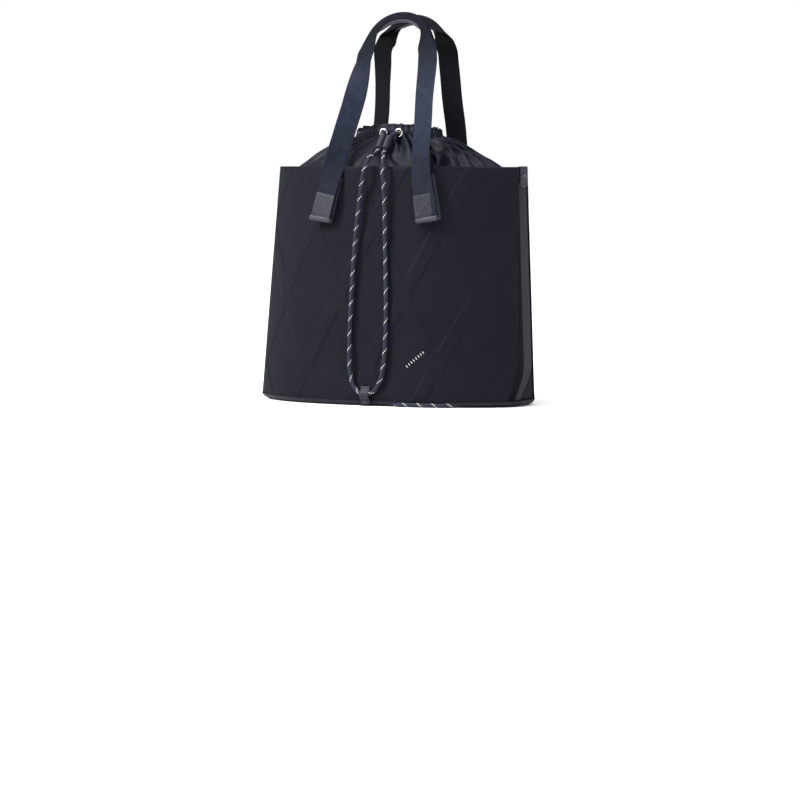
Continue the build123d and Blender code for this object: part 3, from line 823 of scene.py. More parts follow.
def make_facing(front):
    """Strip of lining sewn inside the rim."""
    name = face_name(front)
    low, high = box_mm(f"{name}_rim_facing")

    def place(u, v, w):
        z = RIM_HEIGHT - FACING_DROP - u
        return v, panel_y(front, v, z, PANEL_THICK + FACING_THICK) + w, z

    points, faces, _ = slab(high.z - low.z - 2.0, high.x - low.x, FACING_THICK, 0.5, (4.0, 8.0), place)
    new_piece(f"{name}_facing_cloth", points, faces, [LINING], "root",
              [f"{name}_rim_facing"])


def gusset_profile(side, z):
    """The folded side in plan: front edge, valley, ridge, rear edge."""
    low = smooth((CORNER_RISE - z) / CORNER_RISE)
    front_x = panel_edge(True, side, z) - 1.2
    rear_x = half_width(z) - 1.2
    front_y = panel_y(True, front_x, z, PANEL_THICK + 0.6)
    rear_y = side_y(z, 1) - PANEL_THICK - 0.6
    fold = mix(GUSSET_FOLD, z) * (1 - 0.86 * low)
    valley_y = front_y + (rear_y - front_y) * (0.5 - 0.36 * low)
    ridge_y = rear_y + (front_y + 24.0 - rear_y) * low
    ridge_x = rear_x - 0.2 * low
    valley = (min(front_x, rear_x) - fold, valley_y)
    return [(front_x, front_y), valley, (ridge_x, ridge_y), (rear_x, rear_y)]


GUSSET_SPANS = (9, 12, 9)


def make_gusset(side):
    hand = hand_name(side)
    heights = np.linspace(SEAM_HEIGHT + 0.5, RIM_HEIGHT - 3.0, 120)
    outer, inner, slots = [], [], []
    for z in heights:
        corners = gusset_profile(side, z)
        row = []
        for (ax, ay), (bx, by), count in zip(corners, corners[1:], GUSSET_SPANS):
            for i in range(count):
                t = i / count
                row.append(Vector((ax + (bx - ax) * t, ay + (by - ay) * t)))
        row.append(Vector(corners[-1]))
        for _ in range(2):
            row = [row[0]] + [(p + 2 * q + r) / 4 for p, q, r in zip(row, row[1:], row[2:])] + [row[-1]]
        for index, point in enumerate(row):
            before = row[max(0, index - 1)]
            after = row[min(len(row) - 1, index + 1)]
            along = after - before
            inward = Vector((-along.y, along.x)).normalized() if along.length > 0 else Vector((-1, 0))
            wave = 0.8 * ripple(point.x, point.y, z, 55.0, 7.0 + side)
            inset = point + inward * GUSSET_THICK
            height = z - rim_sag(side * point.x, z)
            outer.append((side * (point.x + wave * 0.6 - 0.4), point.y, height))
            inner.append((side * (inset.x + wave * 0.6 - 0.4), inset.y, height))
    columns = sum(GUSSET_SPANS) + 1
    rows = len(heights)
    faces = grid_faces(rows, columns)
    count = rows * columns
    back = shifted(flipped(faces), count)
    rim = []
    border = list(range(columns))
    border += [r * columns + columns - 1 for r in range(1, rows)]
    border += [(rows - 1) * columns + c for c in range(columns - 2, -1, -1)]
    border += [r * columns for r in range(rows - 2, 0, -1)]
    for a, b in zip(border, border[1:] + border[:1]):
        rim.append((b, a, a + count, b + count))
    # Only this band of the leaf takes the pale gusset nylon; the leaf between the valley and the band keeps
    # the dark panel nylon as painted shade for the deep gap of the fold, on top of the shade the fold casts
    # itself.
    strip = range(GUSSET_SPANS[0] + GUSSET_SPANS[1] // 2 + 1, GUSSET_SPANS[0] + GUSSET_SPANS[1])
    for r in range(rows - 1):
        for c in range(columns - 1):
            slots.append(1 if c in strip else 0)
    everything = faces + back + rim
    if side < 0:
        everything = flipped(everything)
    slots += [0] * (len(everything) - len(slots))
    gusset = new_piece(f"{hand}_gusset_cloth", outer + inner, everything, [PANEL, GUSSET], "root",
                       [f"{hand}_gusset"], slots)
    widths = [run_of(gusset_profile(side, z)) for z in heights]


RING_LONG, RING_SHORT = 90, 12    # points of the base's outline along a panel and along a side


def base_ring(z, inset, outline_z):
    """Outline of the bag at outline_z, drawn in by inset, at height z."""
    points = []
    half = half_width(outline_z)
    left, right = -panel_edge(True, -1, outline_z), panel_edge(True, 1, outline_z)
    reach = 1 - inset / BASE_WIDTH * 2
    rear_y = panel_y(False, half, outline_z, inset)
    for i in range(RING_LONG):
        x = left + (right - left) * i / RING_LONG
        points.append((x * reach, panel_y(True, x, outline_z, inset), z))
    start_y = panel_y(True, right, outline_z, inset)
    for i in range(RING_SHORT):
        t = i / RING_SHORT
        x = right + (half - right) * min(1.0, 3 * t)
        points.append((x - inset, start_y + (rear_y - start_y) * t, z))
    for i in range(RING_LONG):
        x = half * (1 - 2 * i / RING_LONG)
        points.append((x * reach, panel_y(False, x, outline_z, inset), z))
    end_y = panel_y(True, half, outline_z, inset)
    for i in range(RING_SHORT):
        points.append((inset - half, rear_y + (end_y - rear_y) * i / RING_SHORT, z))
    return points


def make_base():
    """Base panel: its edge curves up from the floor to the seam."""
    levels = [(BASE_THICK, BASE_INSET + BASE_THICK), (BASE_THICK + 1.0, BASE_INSET - 1.0)]
    levels += [(SEAM_HEIGHT * 0.6, 7.0), (SEAM_HEIGHT - 0.6, BASE_THICK), (SEAM_HEIGHT - 0.4, 0.4)]
    for step in range(9):
        turn = pi / 2 * step / 8
        levels.append((SEAM_HEIGHT * (1 - sin(turn)) * 0.98, 0.2 + BASE_INSET * (1 - cos(turn))))
    points = []
    for z, inset in levels:
        points += base_ring(z, inset, SEAM_HEIGHT)
    columns = len(points) // len(levels)
    faces = flipped(grid_faces(len(levels), columns, wrap_columns=True) + end_caps(len(levels), columns))
    new_piece("base_cloth", points, faces, [BASE], "root", ["base_panel"])


PIPING_RADIUS = 1.1


def seam_tape():
    """Rolled piping along the base seam, all the way round."""
    outline = np.array(base_ring(SEAM_HEIGHT + 0.2, -0.2, SEAM_HEIGHT))
    path = even(np.vstack([outline, outline[:1]]), 4.0)[:-1]
    points = []
    sides = 8
    count = len(path)
    up = Vector((0, 0, PIPING_RADIUS))
    for i in range(count):
        tangent = Vector(path[(i + 1) % count] - path[i - 1])
        points += ring(Vector(path[i]), tangent.cross(up).normalized() * PIPING_RADIUS, up, sides)
    faces = grid_faces(count, sides, wrap_columns=True, wrap_rows=True)
    new_piece("base_seam_piping", points, faces, [PANEL], "root")


# --- Collar -------------------------------------------------------------------------------------
# Folds of the collar: angle at the hem and at the foot in degrees, width at both in degrees, height.
FOLDS = [
    (-2.0, -9.0, 6.0, 11.0, 6.5), (-11.0, -31.0, 6.0, 7.0, 6.5), (-20.0, -44.0, 6.0, 6.0, 6.5),
    (-31.0, -56.0, 8.0, 6.0, 4.5), (-74.0, -80.0, 8.0, 9.0, 4.0),
    (-106.0, -114.0, 8.0, 9.0, 4.0), (-132.0, -140.0, 12.0, 9.0, 4.0), (-158.0, -150.0, 10.0, 5.0, 5.0),
    (-171.0, -165.0, 8.0, 6.0, 6.0), (176.0, 176.0, 10.0, 5.0, 7.0),
    (20.0, 12.0, 9.0, 7.0, 6.0), (44.0, 30.0, 10.0, 9.0, 6.5), (70.0, 58.0, 10.0, 11.0, 6.0),
    (98.0, 96.0, 10.0, 12.0, 6.0), (126.0, 134.0, 10.0, 11.0, 6.0), (152.0, 160.0, 10.0, 8.0, 6.0),
]
GATHERS = 40
COLLAR_THICK = 0.9
COLLAR_INSET = 5.0           # from the mouth's outline in to where the collar meets the hem
MOUTH_DROOP = 9.0            # how much lower the two ends of the mouth are
PLEAT_DEPTH = 4.5            # of the small pleats where they meet the hem
PLEAT_START = 0.2            # how far up the collar they begin, as a share of its slope
COLLAR_BELLY = (7.0, 2.0)    # how far the collar swells at its left and right ends
HOLLOWS = [(-43.0, -67.0, 9.0, 9.0, -15.0), (-90.0, -90.0, 9.0, 10.0, -5.0)]


def gather(angle, seed):
    """Small uneven pleats round the mouth, from -1 to 1."""
    drift = 0.9 * sin(3 * angle + seed) + 0.6 * sin(7 * angle + 2 * seed)
    size = 0.75 + 0.25 * sin(5 * angle + seed)
    return size * sin(GATHERS * angle + 2.2 * drift)


def foot_point(angle):
    """Where the collar is sewn inside the rim, in the direction of an angle from the mouth."""
    z = COLLAR_FOOT
    front = sin(angle) < 0
    reach = half_width(z) - 26.0
    # A flattened circle spreads the angles evenly along the long sides.
    spread = abs(cos(angle)) ** 0.72 * (1 if cos(angle) > 0 else -1)
    x = reach * spread
    corner = abs(sin(angle)) ** 0.5
    middle = mix(SIDE_Y, z)
    y = panel_y(front, x, z, 6.5)
    return Vector((x, middle + (y - middle) * min(1.0, corner * 1.15), z))


def fold_height(degrees_here, rise, folds):
    total = 0.0
    for top, foot, wide_top, wide_foot, height in folds:
        centre = foot + (top - foot) * rise
        width = wide_foot + (wide_top - wide_foot) * rise
        gap = (degrees_here - centre + 180.0) % 360.0 - 180.0
        if abs(gap) < width:
            total += height * cos(pi / 2 * gap / width) ** 2
    return total


def mouth_x(angle, inset):
    """X of the mouth's outline, which reaches a little further to the right."""
    return (MOUTH[0] - inset) * cos(angle) + 8.0 * max(0.0, cos(angle)) ** 2


def hem_rise(angle):
    """The gathered mouth droops towards its two ends."""
    return -MOUTH_DROOP * abs(cos(angle)) ** 5


def make_collar():
    """Gathered skirt from the rim to the hem."""
    columns, rows = 540, 64
    points = []
    for r in range(rows + 1):
        rise = r / rows
        for c in range(columns):
            angle = tau * c / columns
            here = angle * 180.0 / pi
            foot = foot_point(angle)
            top = Vector((
                mouth_x(angle, COLLAR_INSET), MOUTH_Y + (MOUTH[1] - COLLAR_INSET) * sin(angle),
                COLLAR_TOP + 4.0 + hem_rise(angle) * 0.8,
            ))
            point = foot.lerp(top, rise)
            outward = Vector((foot.x - top.x, foot.y - top.y, 0)).normalized()
            normal = (outward * 0.5 + Vector((0, 0, 0.87))).normalized()
            belly = sin(pi * rise**0.8) * (5.0 + COLLAR_BELLY[cos(angle) > 0] * abs(cos(angle)) ** 3)
            settled = smooth(rise / 0.16) * (1 - 0.55 * smooth((rise - 0.8) / 0.2))
            lift = (fold_height(here, rise, FOLDS) + fold_height(here, rise, HOLLOWS)) * settled
            small = gather(angle, 1.3) * PLEAT_DEPTH * smooth((rise - PLEAT_START) / 0.6)
            waves = 1.8 * ripple(point.x, point.y, point.z, 34.0, 21.0) * settled
            points.append(point + normal * (belly + lift + small + waves) + outward * small * 0.6)
    faces = flipped(grid_faces(rows + 1, columns, wrap_columns=True))
    collar = new_piece("collar_satin_skirt", points, faces, [COLLAR], "root",
                       ["collar_skirt"])
    thicken(collar, COLLAR_THICK)
    # The cut is a strip as wide as the seam at its foot and as high as the cloth's own slope.
    cloth = np.array([tuple(point) for point in points]).reshape(rows + 1, columns, 3)
    girth = run_of([*cloth[0], cloth[0][0]])
    slope = float(np.mean([run_of(cloth[:, c]) for c in range(columns)]))


def thicken(piece, thickness):
    """Gives an open sheet its thickness, on the inner side."""
    solid = piece.modifiers.new("thickness", "SOLIDIFY")
    solid.thickness = thickness * MM
    solid.offset = -1.0
    depsgraph = bpy.context.evaluated_depsgraph_get()
    baked = bpy.data.meshes.new_from_object(piece.evaluated_get(depsgraph), depsgraph=depsgraph)
    piece.modifiers.clear()
    piece.data = baked


def make_hem():
    """Ruffled hem: a soft tube round the cord with a free frill above it."""
    columns = 720
    section = []
    half = HEM_THICK / 2
    foot = COLLAR_TOP + 0.6
    channel_top = EYELET_Z + 8.0
    # (outward offset from the middle line, height, how much it is gathered)
    outline = [
        (3.6, foot, 1.0), (5.2, foot + 3.5, 0.8), (6.0, EYELET_Z - 2.0, 0.55), (5.9, EYELET_Z + 2.0, 0.5),
        (5.0, EYELET_Z + 5.5, 0.8), (3.4, channel_top, 1.2), (3.0, channel_top + 3.0, 1.7),
        (2.6, HEM_TOP - 2.5, 2.2), (1.6, HEM_TOP - 1.2, 2.4), (0.4, HEM_TOP - 1.4, 2.4),
        (-0.6, HEM_TOP - 3.0, 2.2), (-1.8, channel_top + 3.0, 1.7), (-3.0, channel_top, 1.2),
        (-5.0, EYELET_Z + 5.0, 0.8), (-5.9, EYELET_Z, 0.5), (-5.2, foot + 4.0, 0.8), (-3.6, foot, 1.0),
    ]
    for c in range(columns):
        angle = tau * c / columns
        x = mouth_x(angle, half)
        flat = 1 - exp(-((x / 34.0) ** 4)) if sin(angle) < 0 else 1.0
        outward = Vector((cos(angle) / MOUTH[0], sin(angle) / MOUTH[1], 0)).normalized()
        middle = Vector((x, MOUTH_Y + (MOUTH[1] - half) * sin(angle), 0))
        pleat = gather(angle, 1.3)
        frill = 1.5 * sin(23 * angle + 1.7 * sin(4 * angle)) + 1.0 * sin(41 * angle + 0.7)
        raised = 2.5 * exp(-((x / 44.0) ** 2)) if sin(angle) < 0 else 0.0
        for offset, height, ruffle in outline:
            crowd = (0.25 + 0.75 * flat) * ruffle
            out_by = offset + pleat * crowd * (1.1 if offset > 0 else 0.8) - 0.9
            top_share = smooth((height - channel_top) / (HEM_TOP - channel_top))
            up = height + hem_rise(angle) + raised * smooth((height - EYELET_Z) / 8.0)
            up += (frill * 0.9 - 1.2) * top_share * (0.4 + 0.6 * flat)
            section.append(middle + outward * out_by + Vector((0, 0, up)))
    rows = len(outline)
    faces = grid_faces(columns, rows, wrap_columns=True, wrap_rows=True)
    new_piece("collar_hem_ruffle", section, faces, [COLLAR], "root", ["collar_hem"])


# --- Handles ------------------------------------------------------------------------------------
def bar_y(front):
    out = way_out(front)
    return panel_y(front, BAR_X, BAR_HEIGHT) + out * BAR_STANDOFF


def knee_y(front):
    out = way_out(front)
    return panel_y(front, KNEE_X, RIM_HEIGHT) + out * 5.0


def leg_frame(front, side):
    """Bar centre, direction across the leg, up the leg, and out of the bag."""
    out = way_out(front)
    centre = Vector((side * BAR_X, bar_y(front), BAR_HEIGHT))
    up = Vector((-side * (BAR_X - KNEE_X), knee_y(front) - bar_y(front), KNEE_RISE)).normalized()
    turn = radians(6.0)
    across = Vector((cos(turn), -out * side * sin(turn), 0))
    normal = across.cross(up).normalized()
    if normal.y * out < 0:
        normal = -normal
    return centre, up.cross(normal) * (1 if up.cross(normal).x > 0 else -1), up, normal


def handle_path(front):
    """Middle line of a whole handle, from the left bar over the top to the right one."""
    knee_z = BAR_HEIGHT + KNEE_RISE
    top_z = GRIP_Z + GRIP_X
    lean = (TOP_Y[front] - knee_y(front)) / (top_z + 7.5 - knee_z)

    def lean_y(z):
        return knee_y(front) + lean * (z - knee_z)

    centre, _, up, _ = leg_frame(front, -1)
    leg = [centre + up * distance for distance in (BAR_RADIUS + 0.4, 36.0, 72.0)]
    leg.append(Vector((-KNEE_X - 1.5, knee_y(front) * 0.94 + bar_y(front) * 0.06, knee_z - 6.0)))
    for x, z in ((KNEE_X - 5.5, 0.16), (WAIST_X + 3.0, 0.34), (WAIST_X - 3.5, 0.56), (GRIP_X + 2.0, 0.8)):
        height = knee_z + (GRIP_Z - knee_z) * z
        leg.append(Vector((-x, lean_y(height), height)))
    leg.append(Vector((-GRIP_X, lean_y(GRIP_Z - 14.0), GRIP_Z - 14.0)))
    arc = []
    for step in range(1, 6):
        turn = pi / 2 * step / 5
        z = GRIP_Z + GRIP_X * sin(turn)
        arc.append(Vector((-GRIP_X * cos(turn), lean_y(z), z)))
    left = leg + [Vector((-GRIP_X, lean_y(GRIP_Z), GRIP_Z))] + arc
    right = [Vector((-p.x, p.y, p.z)) for p in left[-2::-1]]
    normal = Vector((0, -1, lean)) if front else Vector((0, 1, -lean))
    for point in left + right:
        heights, drifts = DRIFT[(front, 1 if point.x > 0 else -1)]
        point.x += float(np.interp(point.z, heights, drifts))
    path = curve_points("handle_route", controls_mm(left + right), 16)
    return even(path, 2.0), normal.normalized()


# How far a leg turns about its own length at some heights, in degrees.
TWISTS = {
    (True, -1): ((406.0, 466.0, 570.0, 640.0, 700.0), (-6.0, 30.0, 30.0, -20.0, 0.0)),
    (True, 1): ((406.0, 466.0, 560.0, 700.0), (6.0, 12.0, 12.0, 0.0)),
    (False, -1): ((406.0, 466.0, 600.0, 700.0), (-6.0, -22.0, -20.0, 0.0)),
    (False, 1): ((406.0, 466.0, 600.0, 700.0), (6.0, -4.0, -4.0, 0.0)),
}
FOLDS_BETWEEN = {
    (True, -1): (625.0, 715.0), (True, 1): (632.0, 714.0),
    (False, -1): (658.0, 722.0), (False, 1): (652.0, 720.0),
}                            # heights between which the flat strap folds in half
FOLD_RADIUS = 4.8
FOLDED_WIDTH = 35.0
GRIP_OUT = {True: 9.6, False: 7.0}


def handle_frames(front):
    """At each step: place, outward direction, front direction, share of the fold, height."""
    path, normal = handle_path(front)
    out = way_out(front)
    tangents = np.gradient(path, axis=0)
    lengths = np.r_[0, np.cumsum(np.linalg.norm(np.diff(path, axis=0), axis=1))]
    steps = []
    for place, tangent, run in zip(path, tangents, lengths):
        tangent = Vector(tangent).normalized()
        outward = (normal.cross(tangent) * -out).normalized()
        facing = (outward.cross(tangent) * out).normalized()
        side = -1 if place[0] < 0 else 1
        height = place[2]
        low, high = FOLDS_BETWEEN[(front, side)]
        folded = smooth((height - low) / (high - low))
        turn = float(np.interp(height, *TWISTS[(front, side)]))
        spin = Matrix.Rotation(radians(turn), 3, tangent)
        steps.append((Vector(place), spin @ outward, spin @ facing, folded, run))
    return steps, lengths[-1]


def folded_section(across, folded, grip_out):
    """Outward and frontward offset of a point across the strap, which folds back on itself."""
    width = STRAP_WIDTH + (FOLDED_WIDTH - STRAP_WIDTH) * folded
    half = width / 2
    across = across * width / STRAP_WIDTH
    arc = FOLD_RADIUS * pi
    crease = (half + arc) * (1 - folded)
    start = crease - arc / 2
    if across <= start:
        place = (across, FOLD_RADIUS)
    elif across <= start + arc:
        turn = (across - start) / FOLD_RADIUS
        place = (start + FOLD_RADIUS * sin(turn), FOLD_RADIUS * cos(turn))
    else:
        place = (start - (across - start - arc), -FOLD_RADIUS)
    outermost = min(half, start + FOLD_RADIUS)
    shift = (grip_out - outermost) * folded
    return place[0] + shift, place[1] - FOLD_RADIUS * (1 - folded)


SEAM_RISE = 18.0             # from a patch up to the row of stitches across the strap
SEAM_STITCHES = 16


def make_strap(front):
    """Webbing strap: flat legs, folded lengthwise at the grip."""
    name = face_name(front)
    steps, length = handle_frames(front)
    runs = np.array([step[4] for step in steps])
    out = way_out(front)

    def place(u, v, w):
        index = min(len(steps) - 2, max(0, int(np.searchsorted(runs, u)) - 1))
        part = (u - runs[index]) / (runs[index + 1] - runs[index])
        here, there = steps[index], steps[index + 1]
        centre = here[0].lerp(there[0], part)
        outward = here[1].lerp(there[1], part).normalized()
        facing = here[2].lerp(there[2], part).normalized()
        folded = here[3] + (there[3] - here[3]) * part
        small = 0.4
        tooth = SELVEDGE * cos(u * tau / SELVEDGE_PITCH) * (abs(v) / (STRAP_WIDTH / 2)) ** 12
        v += tooth if v > 0 else -tooth
        a = folded_section(v - small, folded, GRIP_OUT[front])
        b = folded_section(v + small, folded, GRIP_OUT[front])
        middle = folded_section(v, folded, GRIP_OUT[front])
        along = Vector((b[0] - a[0], b[1] - a[1])).normalized()
        normal = Vector((-along.y, along.x))
        r = middle[0] + normal.x * w
        n = middle[1] + normal.y * w
        sag = 0.9 * ripple(u, v * 0.3, 0.0, 70.0, 31.0 + out)
        return centre + outward * r + facing * (n + sag * (1 - folded))

    points, faces, uvs = slab(length, STRAP_WIDTH, STRAP_THICK, 0.9, (SELVEDGE_PITCH / 2, 1.7), place)
    uvs = [(u - length * MM / 2, v) for u, v in uvs]
    # The inner face takes the darker webbing copy, painted shade.
    strap = new_piece(f"{name}_webbing", points, faces, [WEBBING, WEBBING_SHADED_FACE], f"{name}_handle",
                      [f"{name}_handle_strap"], back_slots(faces), uvs)
    pairs = []
    for run in (PATCH_LENGTH + SEAM_RISE, length - PATCH_LENGTH - SEAM_RISE):
        for i in range(SEAM_STITCHES):
            v = (STRAP_WIDTH - 5.0) * ((i + 0.5) / SEAM_STITCHES - 0.5)
            tilt = 1.1 if i % 2 else -1.1
            pairs.append((place(run - tilt, v - 1.1, 0.95), place(run + tilt, v + 1.1, 0.95)))
    add_stitches(f"{name}_strap_stitches", pairs, f"{name}_handle")
    return steps


def make_grip_lining(front, steps):
    """Padded strip between the strap's two layers at the grip, pointed at both ends."""
    name = face_name(front)
    grip = [step for step in steps if step[3] > 0.8]
    points = []
    sides = 14
    total = len(grip) - 1
    inner = GRIP_OUT[front] - (FOLDED_WIDTH - FOLD_RADIUS * pi) / 2 - FOLD_RADIUS - 0.6
    for index, (place, outward, facing, _, _) in enumerate(grip):
        end = min(index, total - index) / 14.0
        swell = smooth(end) * 0.92 + 0.08
        centre = place + outward * (inner + 1.2 - 1.0 * swell)
        points += ring(centre, outward * (4.4 * swell), facing * (4.0 * swell), sides)
    faces = grid_faces(len(grip), sides, wrap_columns=True)
    faces += end_caps(len(grip), sides)
    if not front:
        faces = flipped(faces)
    new_piece(f"{name}_grip_core", points, faces, [LEATHER_PALE], f"{name}_handle",
              [f"{name}_grip_lining"])
    stitches = []
    for index in range(6, total - 6, 2):
        place, outward, facing, _, _ = grip[index]
        following = grip[index + 1][0]
        for face in (-1, 1):
            offset = outward * (inner + 3.2) + facing * (face * (FOLD_RADIUS + STRAP_THICK / 2 + 0.1))
            stitches.append((place + offset, following + offset))
    add_stitches(f"{name}_grip_stitches", stitches, f"{name}_handle")


def add_stitches(name, pairs, body, radius=0.38, material=None):
    """One small rounded bar of thread between each pair of points."""
    points, faces = [], []
    sides, profile = 6, ((0.0, 0.35), (0.18, 1.0), (0.82, 1.0), (1.0, 0.35))
    for start, end in pairs:
        start, end = Vector(start), Vector(end)
        along = (end - start).normalized()
        first = along.orthogonal().normalized()
        second = along.cross(first)
        base = len(points)
        for place, swell in profile:
            reach = radius * swell
            points += ring(start.lerp(end, place), first * reach, second * reach, sides)
        bar = grid_faces(len(profile), sides, wrap_columns=True) + end_caps(len(profile), sides)
        faces += shifted(bar, base)
    return new_piece(name, points, faces, [material or THREAD], body)


STITCH_SHARE = 0.68          # share of a stitch's pitch that its thread fills


def dashes(start, end, pitch):
    """Pairs of points for a row of stitches from start to end."""
    start, end = Vector(start), Vector(end)
    count = max(1, int(round((end - start).length / pitch)))
    pairs = []
    for i in range(count):
        a = start.lerp(end, (i + (1 - STITCH_SHARE) / 2) / count)
        b = start.lerp(end, (i + (1 + STITCH_SHARE) / 2) / count)
        pairs.append((a, b))
    return pairs


def make_patch(front, side):
    """Leather patch over a strap's end, with its box-and-cross stitching."""
    name = face_name(front)
    hand = hand_name(side)
    centre, across, up, normal = leg_frame(front, side)
    foot = BAR_RADIUS - 1.0
    lift = STRAP_THICK / 2 + PATCH_THICK / 2 + 0.2

    def at(u, v, w):
        return centre + up * (foot + u) + across * v + normal * (lift + w)

    def place(u, v, w):
        curl = 1.6 * smooth((9.0 - u) / 9.0)
        return at(u, v, w + 0.35 * ripple(u, v, 0.0, 16.0, 41.0 + side) - curl * 0.2)

    width = STRAP_WIDTH + 1.0
    length = PATCH_LENGTH
    points, faces, _ = slab(length, width, PATCH_THICK, 0.8, (2.0, 2.0), place)
    new_piece(f"{name}_{hand}_patch", points, faces, [LEATHER], f"{name}_handle",
              [f"{name}_patch_{hand}"])
    low, high, reach = 8.0, length - 3.5, width / 2 - 3.5
    corners = [(low, -reach), (high, -reach), (high, reach), (low, reach)]
    lines = list(zip(corners, corners[1:] + corners[:1]))
    lines += [(corners[0], corners[2]), (corners[1], corners[3])]
    pairs = []
    for (ua, va), (ub, vb) in lines:
        pairs += dashes(at(ua, va, PATCH_THICK / 2 + 0.05), at(ub, vb, PATCH_THICK / 2 + 0.05), 3.4)
    add_stitches(f"{name}_{hand}_patch_stitches", pairs, f"{name}_handle", 0.42, THREAD_PALE)


def make_bar(front, side):
    """Leather-wrapped bar: a rolled tube with closed ends and a seam."""
    name = face_name(front)
    hand = hand_name(side)
    low, high = box_mm(f"{name}_bar_{hand}")
    centre = (low + high) / 2
    tilt = radians(BAR_TILT * side)
    along = Vector((cos(tilt), 0, sin(tilt)))
    out = Vector((0, way_out(front), 0))
    up = out.cross(along).normalized()
    if up.z < 0:
        up = -up
    profile = [(-0.5, 0.0), (-0.5, 0.62), (-0.488, 0.86), (-0.465, 0.97), (-0.44, 1.0)]
    profile += [(share_along, 1.0) for share_along in np.linspace(-0.4, 0.4, 9)]
    profile += [(0.44, 1.0), (0.465, 0.97), (0.488, 0.86), (0.5, 0.62), (0.5, 0.0)]
    sides = 28
    points = []
    for share_along, swell in profile:
        for s in range(sides):
            turn = tau * s / sides
            seam = 0.25 * exp(-((turn - 1.3 * pi) / 0.12) ** 2)
            radius = (BAR_RADIUS + 0.3 + seam) * swell
            spoke = out * cos(turn) + up * sin(turn)
            points.append(centre + along * (BAR_LENGTH * share_along) + spoke * radius)
    faces = grid_faces(len(profile), sides, wrap_columns=True)
    if (out.cross(up)).dot(along) < 0:
        faces = flipped(faces)
    new_piece(f"{name}_{hand}_bar_leather", points, faces, [LEATHER_PALE], f"{name}_handle",
              [f"{name}_bar_{hand}"])


def make_anchor(front, side):
    """Backing strap sewn to the panel behind a handle's end, and its loop round the bar."""
    name = face_name(front)
    hand = hand_name(side)
    out = way_out(front)
    slope = (BAR_X - KNEE_X) / KNEE_RISE

    def surface(u, v, w):
        z = BAR_HEIGHT - 4.0 + u
        x = side * (BAR_X - slope * (u - 4.0)) + v
        x, y, z = panel_point(front, x, z, 0.0)
        height = RELIEF_HEIGHT + 2.4 + 3.6 * (1 - u / ANCHOR_LENGTH)
        lift = height * (w + ANCHOR_THICK / 2) / ANCHOR_THICK
        return Vector((x, y + out * (0.3 + lift), z + slope * side * v))

    points, faces, _ = slab(ANCHOR_LENGTH, ANCHOR_WIDTH, ANCHOR_THICK, 1.1, (3.0, 3.0), surface)
    ring_points, ring_faces = anchor_loop(front, side, surface)
    faces = faces + shifted(ring_faces, len(points))
    if not front:
        faces = flipped(faces)
    new_piece(f"{name}_{hand}_anchor_strap", points + ring_points, faces, [LEATHER], "root",
              [f"{name}_anchor_{hand}"])
    pairs = []
    reach, top = ANCHOR_WIDTH / 2 - 2.6, ANCHOR_LENGTH - 3.0
    marks = [(16.0, -reach), (top, -reach), (top, reach), (16.0, reach)]
    for (ua, va), (ub, vb) in zip(marks, marks[1:]):
        count = int(max(abs(ub - ua), abs(vb - va)) / 3.6)
        for i in range(count):
            a, b = (i + 0.18) / count, (i + 0.82) / count
            pairs.append((surface(ua + (ub - ua) * a, va + (vb - va) * a, 1.35),
                          surface(ua + (ub - ua) * b, va + (vb - va) * b, 1.35)))
    add_stitches(f"{name}_{hand}_anchor_stitches", pairs, "root")


def anchor_loop(front, side, surface):
    """Leather loop from the backing strap, behind the bar and back."""
    out = way_out(front)
    centre = Vector((side * BAR_X, bar_y(front), BAR_HEIGHT))
    base = surface(4.0, 0.0, 0.6)
    inner, thick, wide = BAR_RADIUS + 0.9, 1.5, 14.0
    profile = [Vector((base.y, base.z - 6.5)), Vector((base.y + out * 2.5, base.z - 6.0))]
    for step in range(9):
        turn = radians(-100.0 + 200.0 * step / 8)
        reach = inner + thick / 2
        profile.append(Vector((centre.y - out * reach * cos(turn), centre.z + reach * sin(turn))))
    profile += [Vector((base.y + out * 2.5, base.z + 6.0)), Vector((base.y, base.z + 6.5))]
    points = []
    for index, spot in enumerate(profile):
        before = profile[max(0, index - 1)]
        after = profile[min(len(profile) - 1, index + 1)]
        along = (after - before).normalized()
        normal = Vector((-along.y, along.x)) * thick / 2
        for x, sign in ((-wide / 2, -1), (wide / 2, -1), (wide / 2, 1), (-wide / 2, 1)):
            points.append(Vector((centre.x + x, spot.x + sign * normal.x, spot.y + sign * normal.y)))
    return points, grid_faces(len(profile), 4, wrap_columns=True) + flipped(end_caps(len(profile), 4))


